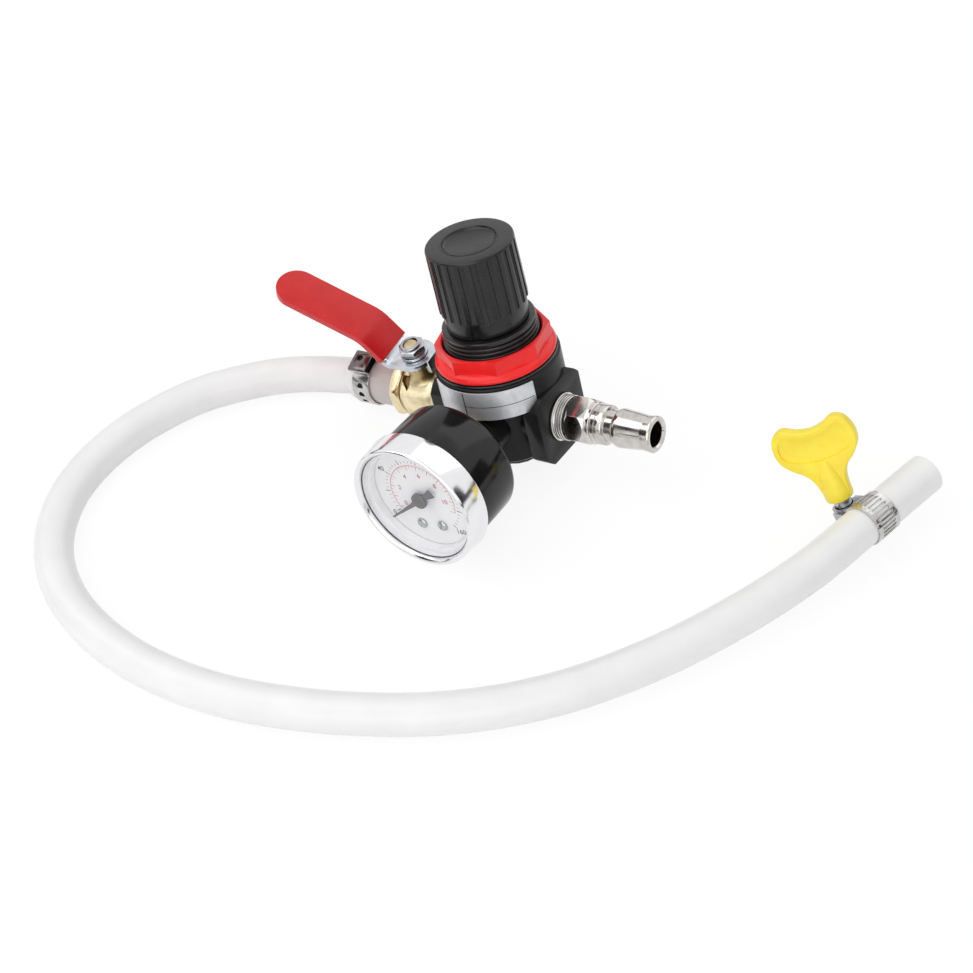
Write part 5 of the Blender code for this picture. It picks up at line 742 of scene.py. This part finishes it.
def gauge():
    """Case, rolled bezel, white rim inside, lens, pointer and the dial's screws."""
    case = turned("gauge_case", [
        (18.7, 52.5), (19.9, 52.5), (19.9, 47.0), (20.3, 46.85), (20.5, 46.5), (20.5, 30.8), (20.42, 30.2),
        (20.18, 29.6), (19.8, 29.12), (19.3, 28.72), (18.7, 28.48), (18.1, 28.4), (5.15, 28.4), (5.15, 29.6),
        (16.9, 29.6), (19.3, 32.0), (19.3, 45.4), (18.7, 47.2),
    ], 192)
    finished(case, "gauge_case", GAUGE, sharp=30)
    bezel = turned("gauge_bezel", [
        (19.5, 54.5), (19.55, 54.9), (19.8, 55.3), (20.1, 55.7), (20.45, 55.92), (20.75, 56.0), (21.02, 55.95),
        (21.25, 55.8), (21.45, 55.45), (21.55, 54.9), (22.0, 47.4), (21.95, 47.12), (21.75, 47.0), (20.25, 47.0),
        (20.2, 47.05), (20.2, 54.5),
    ], 192)
    finished(bezel, "gauge_bezel", GAUGE, sharp=40, finish=BEZEL_CHROME)
    added(turned("dial_rim", [
        (18.64, 49.95), (18.64, 52.45), (20.1, 52.58), (20.12, 54.1), (20.05, 54.2), (19.6, 54.2), (19.52, 54.1),
        (19.5, 52.7), (18.2, 52.7), (17.95, 52.5), (17.8, 49.95),
    ], 160, GAUGE), RIM_WHITE, "regulator")
    glass = turned("gauge_lens", [
        (0, 54.2), (19.2, 54.2), (19.42, 54.0), (19.42, 52.95), (19.3, 52.8), (0, 52.8),
    ], 160)
    finished(glass, "gauge_lens", GAUGE)
    # A black ring at the lens's edge is painted shade under the bezel's lip
    lip_shade_ring = turned("lens_lip_shade", [(19.28, 54.22), (19.56, 54.22), (19.56, 54.5), (19.28, 54.42)], 160, GAUGE)
    added(lip_shade_ring, BLACK_RUBBER, "regulator")
    hub = turned("gauge_pointer", [
        (0.95, 52.2), (2.5, 52.2), (2.68, 52.05), (2.7, 51.85), (2.7, 51.2), (0.95, 51.2),
    ], 64)
    blade = pulled("pointer_blade", [
        (15.6, -0.28), (15.6, 0.28), (12.6, 0.34), (2.4, 0.8), (2.3, 1.3), (0, 1.6), (-2.3, 1.3), (-2.6, 0.9),
        (-3.6, 0.95), (-7.0, 1.6), (-7.0, -1.6), (-3.6, -0.95), (-2.6, -0.9), (-2.3, -1.3), (0, -1.6), (2.3, -1.3),
        (2.4, -0.8), (12.6, -0.34),
    ], 51.5, 51.85)
    shaped(blade, pin("pointer_bore", 0.95, 50, 53, 32))
    finished(shaped(hub, blade, "UNION"), "gauge_pointer", POINTER, 0.05)
    for side, x, slot_turn in (("left", -4.0, 35), ("right", 4.0, 70)):
        head = turned(f"dial_screw_{side}", [
            (0, 50.9), (0.6, 50.87), (1.1, 50.76), (1.5, 50.55), (1.75, 50.25), (1.8, 50.1), (0.7, 50.1),
            (0.7, 47.3), (0, 47.3),
        ], 48)
        shaped(head, block("screw_slot", (4.2, 0.42, 1.0), (0, 0, 51.0), (0, 0, slot_turn)))
        finished(head, f"dial_screw_{side}", DIAL @ shift(x, -10.2, 0), 0.05, finish=DARK_ZINC)


# The printed numbers lie this high on the gauge's axis, just above the dial
NUMBER_HEIGHT = 49.83


def dial_number(text, angle, reach, size):
    """One printed number, upright on the dial."""
    bpy.ops.object.select_all(action="DESELECT")
    bpy.ops.object.text_add()
    word = bpy.context.object
    word.data.body = text
    word.data.size = size * MM
    word.data.align_x = "CENTER"
    word.data.align_y = "CENTER"
    word.data.offset = 0.035 * MM
    bpy.ops.object.convert(target="MESH")
    turn = math.radians(angle)
    spot = Vector((reach * math.cos(turn), reach * math.sin(turn), NUMBER_HEIGHT)) * MM
    return placed(bpy.context.object, GAUGE @ Matrix.Translation(spot) @ rotation("Z", DIAL_TURN))


def dial_numbers(name, values, first, step, reach, size, finish):
    """Numbers at even steps round the dial, as one piece."""
    words = [dial_number(str(value), first - step * i, reach, size) for i, value in enumerate(values)]
    alone(words[0])
    for word in words:
        word.select_set(True)
    bpy.ops.object.join()
    words[0].name = name
    added(words[0], finish, "regulator")


def air_plug():
    """Nickel plug: hexagon, ringed shank, locking groove and tapered nose with its bore."""
    body = turned("air_plug", [
        (2.6, 34.6), (3.9, 34.6), (3.9, 54.0), (4.35, 54.55), (5.2, 54.6), (5.6, 54.45), (5.8, 54.1), (5.8, 53.6),
        (5.68, 52.8), (5.5, 51.6), (5.5, 51.0), (5.62, 49.6), (6.0, 45.4), (6.22, 43.0), (6.22, 42.4), (6.05, 41.7),
        (5.75, 41.15), (5.3, 40.75), (5.3, 38.35), (5.7, 38.15), (6.25, 37.9), (6.4, 37.6), (6.4, 35.9), (6.15, 35.75),
        (6.15, 35.4), (6.45, 35.25), (6.45, 34.4), (6.2, 34.25), (6.2, 33.9), (6.6, 33.75), (6.8, 33.5), (6.8, 28.0),
        (6.6, 22.05), (6.5, 21.9), (6.5, 10.8), (6.0, 10.3), (2.6, 10.3),
    ], 128)
    hexagon = nut_shape("plug_hexagon", 6, 8.083, 24.9, 32.0, 227, 1.7, both=True)
    shaped(hexagon, pin("plug_core", 6.4, 20, 33, 64))
    shaped(body, hexagon, "UNION")
    finished(body, "air_plug", PLUG, 0.08, 2, 30)
    outline = [
        (6.75, 24.5), (6.75, 20.72), (7.6, 20.72), (7.75, 20.85), (7.75, 21.15), (7.6, 21.3), (6.9, 21.35),
        (6.9, 21.8),
    ]
    for i in range(3):
        rise = 0.85 * i
        outline += [(7.3, 21.95 + rise), (7.3, 22.4 + rise), (7.1, 22.55 + rise), (7.1, 22.7 + rise)]
    washer = turned("plug_washer", outline, 96)
    finished(washer, "plug_washer", PLUG, finish=THREAD_WHITE)


# The valve's two hexagons: their corners' radius and the turn of the first corner
VALVE_CORNER = 9.699
VALVE_HEXAGON_TURN = 229.5


def ball_valve():
    """Brass valve: round barrel, turned-down hexagon, stem boss and the hose barb's collar."""
    barrel = turned("valve_body", [
        (0, 38.0), (7.9, 38.0), (7.9, 26.0), (7.75, 25.1), (7.3, 24.1), (7.0, 23.2), (7.0, 20.8), (6.5, 20.7),
        (6.5, 10.8), (0, 10.8),
    ], 128)
    hexagon = bar("valve_hexagon", 6, VALVE_CORNER, 24, 40, VALVE_HEXAGON_TURN)
    shaped(hexagon, turned("hexagon_cone", [
        (0, 25.6), (7.6, 25.6), (8.2, 26.6), (9.0, 29.0), (9.75, 31.6), (9.75, 37.0), (8.3, 38.4), (0, 38.4),
    ], 160), "INTERSECT")
    shaped(barrel, hexagon, "UNION")
    boss = turned("stem_boss", [
        (0, 12.6), (4.3, 12.6), (4.4, 12.4), (4.3, 10.6), (4.4, 9.4), (4.8, 8.4), (5.6, 7.4), (5.6, 6.4), (5.0, 3.0),
        (0, 3.0),
    ], 96)
    shaped(barrel, placed(boss, STEM_IN_VALVE), "UNION")
    pocket = pulled("valve_pocket", [(-3.4, 34.8), (-0.2, 37.9), (1.9, 37.9), (1.9, 33.9)], 6.4, 12.0)
    onto_flat = Matrix(((0, 0, 1, 0), (1, 0, 0, 0), (0, 1, 0, 0), (0, 0, 0, 1)))
    shaped(barrel, placed(pocket, rotation("Z", HOLLOW_TURN) @ onto_flat))
    shaped(barrel, pin("valve_bore", 5.0, 9, 39.5, 64))
    shaped(barrel, pin("stem_hole", 3.6, 2.0, 13.5, 48, STEM_IN_VALVE))
    finished(barrel, "valve_body", VALVE, 0.22, 3, 24)
    collar = nut_shape("end_collar", 6, VALVE_CORNER, 38.7, 42.6, VALVE_HEXAGON_TURN, 0.9, both=True)
    barb = turned("hose_barb", [
        (4.1, 61.6), (4.6, 61.1), (5.2, 57.0), (4.6, 56.5), (5.2, 52.4), (4.6, 51.9), (5.2, 47.8), (4.6, 47.3),
        (4.6, 42.0), (3.1, 42.0), (3.1, 61.6),
    ], 64)
    shaped(collar, pin("collar_bore", 3.1, 36, 45, 48))
    finished(shaped(collar, barb, "UNION"), "valve_end", VALVE, 0.15, 2, 24)
    refined("packing_gland", 0.15)
    stem = turned("valve_stem", [(0, 21.1), (1.9, 21.1), (2.2, 20.95), (2.38, 20.7), (2.38, 11.0), (0, 11.0)], 64)
    shaped(stem, block("stem_flat", (6, 1, 6), (0, 2.35, 19)))
    finished(stem, "valve_stem", STEM, finish=STEM_BRASS)
    lever()
    refined("lever_washer", 0.15)
    nut = nut_shape("lever_nut", 6, 8 / math.sqrt(3), 17.95, 20.45, 12, 0.35, both=True)
    shaped(nut, turned("nut_collar", [
        (0, 19.6), (3.55, 19.6), (3.5, 20.95), (3.3, 21.3), (2.9, 21.4), (0, 21.4),
    ], 64), "UNION")
    shaped(nut, pin("nut_thread", 2.55, 17, 22, 48))
    finished(nut, "lever_nut", STEM, 0.06, 2, 30, finish=DARK_ZINC)


# The lever's middle line: its height at the eye, then each bend as its middle's travel, its angle in degrees
# and its radius, which differs between the zinc plate and the sleeve for the second bend
EYE_HEIGHT = 15.8
FIRST_BEND = (7.6, 56.4, 3.0)
SECOND_BEND = (19.7, -31.6)
LEVER_STEPS = 240


def lever_frame(travel, soft):
    """The place on the lever's middle line after this travel, with this radius in the second bend."""
    out, up, slope, stride = 0.0, EYE_HEIGHT, 0.0, travel / LEVER_STEPS
    for i in range(LEVER_STEPS):
        slope = 0.0
        for centre, angle, radius in (FIRST_BEND, (*SECOND_BEND, soft)):
            half = radius * math.radians(abs(angle)) / 2
            slope += angle * min(1.0, max(0.0, (stride * (i + 0.5) - centre + half) / (2 * half)))
        out += stride * math.cos(math.radians(slope))
        up += stride * math.sin(math.radians(slope))
    return shift(-out, 0, up) @ rotation("Y", slope)


def bent_bar(name, half_width, thickness, start, end, soft):
    """A flat bar that follows the lever, its far end round."""
    count = round((end - start) / 0.7)
    upper, lower = [], []
    for i in range(count + 1):
        place = lever_frame(start + (end - start) * i / count, soft)
        for side, line in ((0.5, upper), (-0.5, lower)):
            spot = place @ Vector((0, 0, side * thickness * MM))
            line.append((spot.x / MM, spot.z / MM))
    made = placed(pulled(name, upper + lower[::-1], -half_width, half_width), rotation("X", 90))
    tip = [(half_width - x, -y) for x, y in arc(half_width, 90, -90, 28)]
    wide, far = half_width + 1, 90.0
    outline = [(far, -wide), (half_width, -wide)] + tip + [(half_width, wide), (far, wide)]
    prism = pulled(name + "_tip", outline, -60, 60)
    return shaped(made, placed(prism, lever_frame(end, soft)), "INTERSECT")


def lever():
    """Zinc lever with shoulders beside its eye, and the soft red sleeve over its grip."""
    plate = placed(copy_of("valve_lever"), STEM.inverted())
    shoulders = bent_bar("lever_shoulders", 6.8, 1.58, 0.0, 16.0, 3.0)
    shaped(shoulders, placed(block("beyond", (40, 30, 30), (-20, 0, 0)), lever_frame(9.0, 3.0)))
    shaped(shoulders, pin("lever_hole", 2.75, 10, 20, 48))
    shaped(plate, shoulders, "UNION")
    finished(plate, "valve_lever", STEM, 0.3, 3)
    sleeve = rounded(bent_bar("lever_sleeve", 6.95, 2.5, 6.4, 54.6, 9.0), 1.15, 6, 50)
    shaped(sleeve, placed(block("before", (40, 30, 30), (20, 0, 0)), lever_frame(9.4, 9.0)))
    shaped(sleeve, bent_bar("sleeve_pocket", 6.0, 1.7, 4.0, 52.9, 9.0))
    finished(sleeve, "lever_sleeve", STEM, sharp=40)


def strip(name, line, thickness, low, high):
    """A band of sheet along a line in plan, given its thickness."""
    piece = drawn(name, [(x, y, low) for x, y in line])
    bpy.ops.mesh.extrude_region_move(TRANSFORM_OT_translate={"value": (0, 0, (high - low) * MM)})
    drawing_done()
    return walled(piece, thickness, 0)


def arc(radius, first, last, steps):
    """Points on an arc between two turns in degrees."""
    angles = [math.radians(first + (last - first) * i / steps) for i in range(steps + 1)]
    return [(radius * math.cos(a), radius * math.sin(a)) for a in angles]


def ear_clamp():
    """One strip round the hose, its ear pinched, with the three locking holes."""
    line = arc(8.2, 19, 341, 72) + [(8.85, -3.1), (9.35, -3.3), (10.6, -3.7), (11.0, -3.6), (11.2, -3.1)]
    line += [(11.2, 3.1), (11.0, 3.6), (10.6, 3.7), (9.35, 3.3), (8.85, 3.1)]
    made = strip("ear_clamp", line + [line[0]], 0.58, 51.6, 58.4)
    hole = placed(bar("locking_hole", 24, 1.15, 0, 3), shift(6.9, 0, 55) @ rotation("Y", 90))
    shaped(hole, block("hole_flat", (3.2, 1.0, 2.8), (8.4, -1.15, 55)))
    shaped(made, around(hole, [-50, -72, -95]))
    dimple = bar("ear_dimple", 32, 1.1, -1.5, 1.5)
    shaped(made, placed(dimple, shift(11.2, 0.9, 55.6) @ rotation("Y", 90)))
    finished(made, "ear_clamp", EAR, 0.12, sharp=40)
    # Two thin black sheets of painted shadow: one behind the locking holes, one in the ear's hollow
    inside = [(8.0, -2.6), (8.9, -2.7), (9.4, -2.9), (10.5, -3.25), (10.8, -3.0), (10.85, -2.6)]
    inside += [(x, -y) for x, y in reversed(inside)]
    for name, line in (("ear_holes_painted_shadow", arc(7.8, -112, -32, 24)), ("ear_hollow_painted_shadow", inside + [inside[0]])):
        shade_sheet = placed(strip(name, line, 0.1, 52.0, 58.0), EAR)
        added(shade_sheet, PAINTED_SHADOW_SHEET, BODY_OF["ear_clamp"])


def key_clamp():
    """Slotted band, the worm's housing and the screw head under the key."""
    line = arc(6.55, 35, 350, 90) + [(6.75, 0.0), (6.8, 1.0)]
    band = strip("key_clamp_band", line, 0.42, -4.5, 4.5)
    slot = rounded(block("band_slot", (3, 0.95, 5.6), (6.55, 0, 0)), 0.4, 4)
    shaped(band, around(slot, [62 + 13 * i for i in range(19)]))
    finished(band, "key_clamp_band", CLAMP, 0.06, sharp=40)
    refined("key_clamp_housing", 0.25, DARK_ZINC)
    refined("key_clamp_screw", 0.2, DARK_ZINC)


# The key's lobes, in millimetres
KEY_HALF_WIDTH = 13.1
KEY_HEIGHT = 26.9


def key_outline(shares):
    """A smooth half outline, in shares of the key's half width and height, with its mirror image."""
    points = [Vector((x * KEY_HALF_WIDTH * MM, y * KEY_HEIGHT * MM, 0)) for x, y in shares]
    fine = smooth_through(points, 0.6 * MM)
    half = [(p.x / MM, p.y / MM) for p in fine]
    return half + [(-x, y) for x, y in reversed(half) if x > 0.3]


def thumb_key():
    """Yellow key: two lobes with a sunk panel, on a round stem that spreads into them."""
    outline = key_outline([
        (0.00, 0.900), (0.30, 0.928), (0.62, 0.995), (0.86, 0.945), (0.99, 0.785), (0.95, 0.615), (0.76, 0.490),
        (0.53, 0.395), (0.39, 0.280), (0.33, 0.140), (0.32, 0.012),
    ])
    made = rounded(pulled("thumb_key", outline, -1.8, 1.8), 1.4, 6, 50)
    stem = turned("key_stem", [
        (0, 17.2), (0.8, 16.6), (1.7, 15.2), (2.5, 13.0), (3.2, 10.0), (3.8, 6.4), (4.15, 3.0), (4.3, 0.6),
        (4.1, 0.2), (3.8, 0.05), (0, 0.05),
    ], 64)
    shaped(made, placed(stem, rotation("X", -90)), "UNION")
    panel = key_outline([
        (0.00, 0.830), (0.35, 0.858), (0.62, 0.915), (0.78, 0.870), (0.86, 0.755), (0.80, 0.635), (0.45, 0.550),
        (0.00, 0.520),
    ])
    for low, high in ((1.05, 4), (-4, -1.05)):
        shaped(made, pulled("key_panel", panel, low, high))
    shaped(made, pin("key_socket", 3.7, -1, 2.9, 48, rotation("X", -90)))
    finished(made, "clamp_key", KEY_FACE, 0.2, 3, 32)


knob()
bonnet()
panel_nut()
gauge()
dial_numbers("dial_numbers_outer", (0, 40, 80, 120, 160), OUTER_SCALE[0], 64, 15.9, 2.5, POINTER_INK)
dial_numbers("dial_numbers_inner", (0, 2, 4, 6, 8, 10), 208, 41.3, 8.4, 2.3, RED_INK)
air_plug()
ball_valve()
ear_clamp()
key_clamp()
thumb_key()
for node, edge in (
    ("regulator_body", 0.3), ("label_band", 0.05), ("bottom_cap", 0.2), ("rear_port_plug", 0.15),
    ("gauge_socket", 0.1),
):
    refined(node, edge)
# The CAD pieces that stay as they are, inside the part, get their finish here
for node, piece in frame["nodes"].items():
    finish = SPINDLE_BRASS if node == "gauge_pinion" else FINISH_OF[SLOT_OF[node]]
    for slot in piece.material_slots:
        slot.material = finish.material


# The studio: how much the white room lights the part, and how brightly the floor shows
ROOM_LIGHT = 0.56
FLOOR_GLOW = 1.04
FLOOR_SHARE = 0.85


def floor():
    """A pale floor that looks white in the picture and lights the part a little less."""
    made = primitive("plane", "floor", size=12)
    finish = Finish("floor_white", (0.88, 0.88, 0.88), 0.9)
    glow = finish.node("Emission", inputs={"Color": (1, 1, 1, 1), "Strength": FLOOR_GLOW})
    surface = Value(finish, finish.surface.outputs[0])
    mixed = finish.node("MixShader", inputs=[finish.seen() * FLOOR_SHARE, surface, glow])
    finish.feed(finish.tree.nodes["Material Output"].inputs["Surface"], mixed)
    made.data.materials.append(finish.material)


def dark_card(card):
    """Makes a piece black, and seen only as a dark streak in bright metal."""
    card.data.materials.append(Finish("card_black", (0.01, 0.01, 0.01), 0.9).material)
    card.visible_camera = False
    card.visible_diffuse = False
    card.visible_transmission = False
    card.visible_shadow = False


def cards():
    """The dark edge of the room, and two cards at the sides."""
    dark_card(primitive(
        "cylinder", "room_edge", vertices=96, radius=1.2, depth=0.14, location=(0, 0, 0.09),
        end_fill_type="NOTHING",
    ))
    dark_card(block("front_card", (240, 4, 315), (-290, -334, 275), (-27, 0, -44)))
    dark_card(block("side_card", (240, 4, 270), (628, 180, 199), (-20, 0, 107)))


def lights():
    """A white room that lights the part less than it shows, and three soft lamps."""
    world = bpy.data.worlds.new("studio")
    bpy.context.scene.world = world
    world.use_nodes = True
    room = Nodes(world.node_tree)
    background = room.tree.nodes["Background"]
    room.feed(background.inputs["Color"], (1, 1, 1, 1))
    room.feed(background.inputs["Strength"], room.spread(room.seen(), 0, 1, ROOM_LIGHT, 1.0))
    target = Vector((0, 0, 0.02))
    for name, place, size, power in (
        ("key_light", (-0.35, -0.25, 0.75), 0.8, 2.8),
        ("front_light", (0.35, -0.80, 0.40), 0.8, 2.6),
        ("back_light", (0.1, 0.7, 0.6), 0.9, 1.3),
    ):
        lamp = bpy.data.lights.new(name, "AREA")
        lamp.size = size
        lamp.energy = power
        made = bpy.data.objects.new(name, lamp)
        made.location = place
        made.rotation_euler = (target - Vector(place)).to_track_quat("-Z", "Y").to_euler()
        bpy.context.scene.collection.objects.link(made)


floor()
cards()
lights()
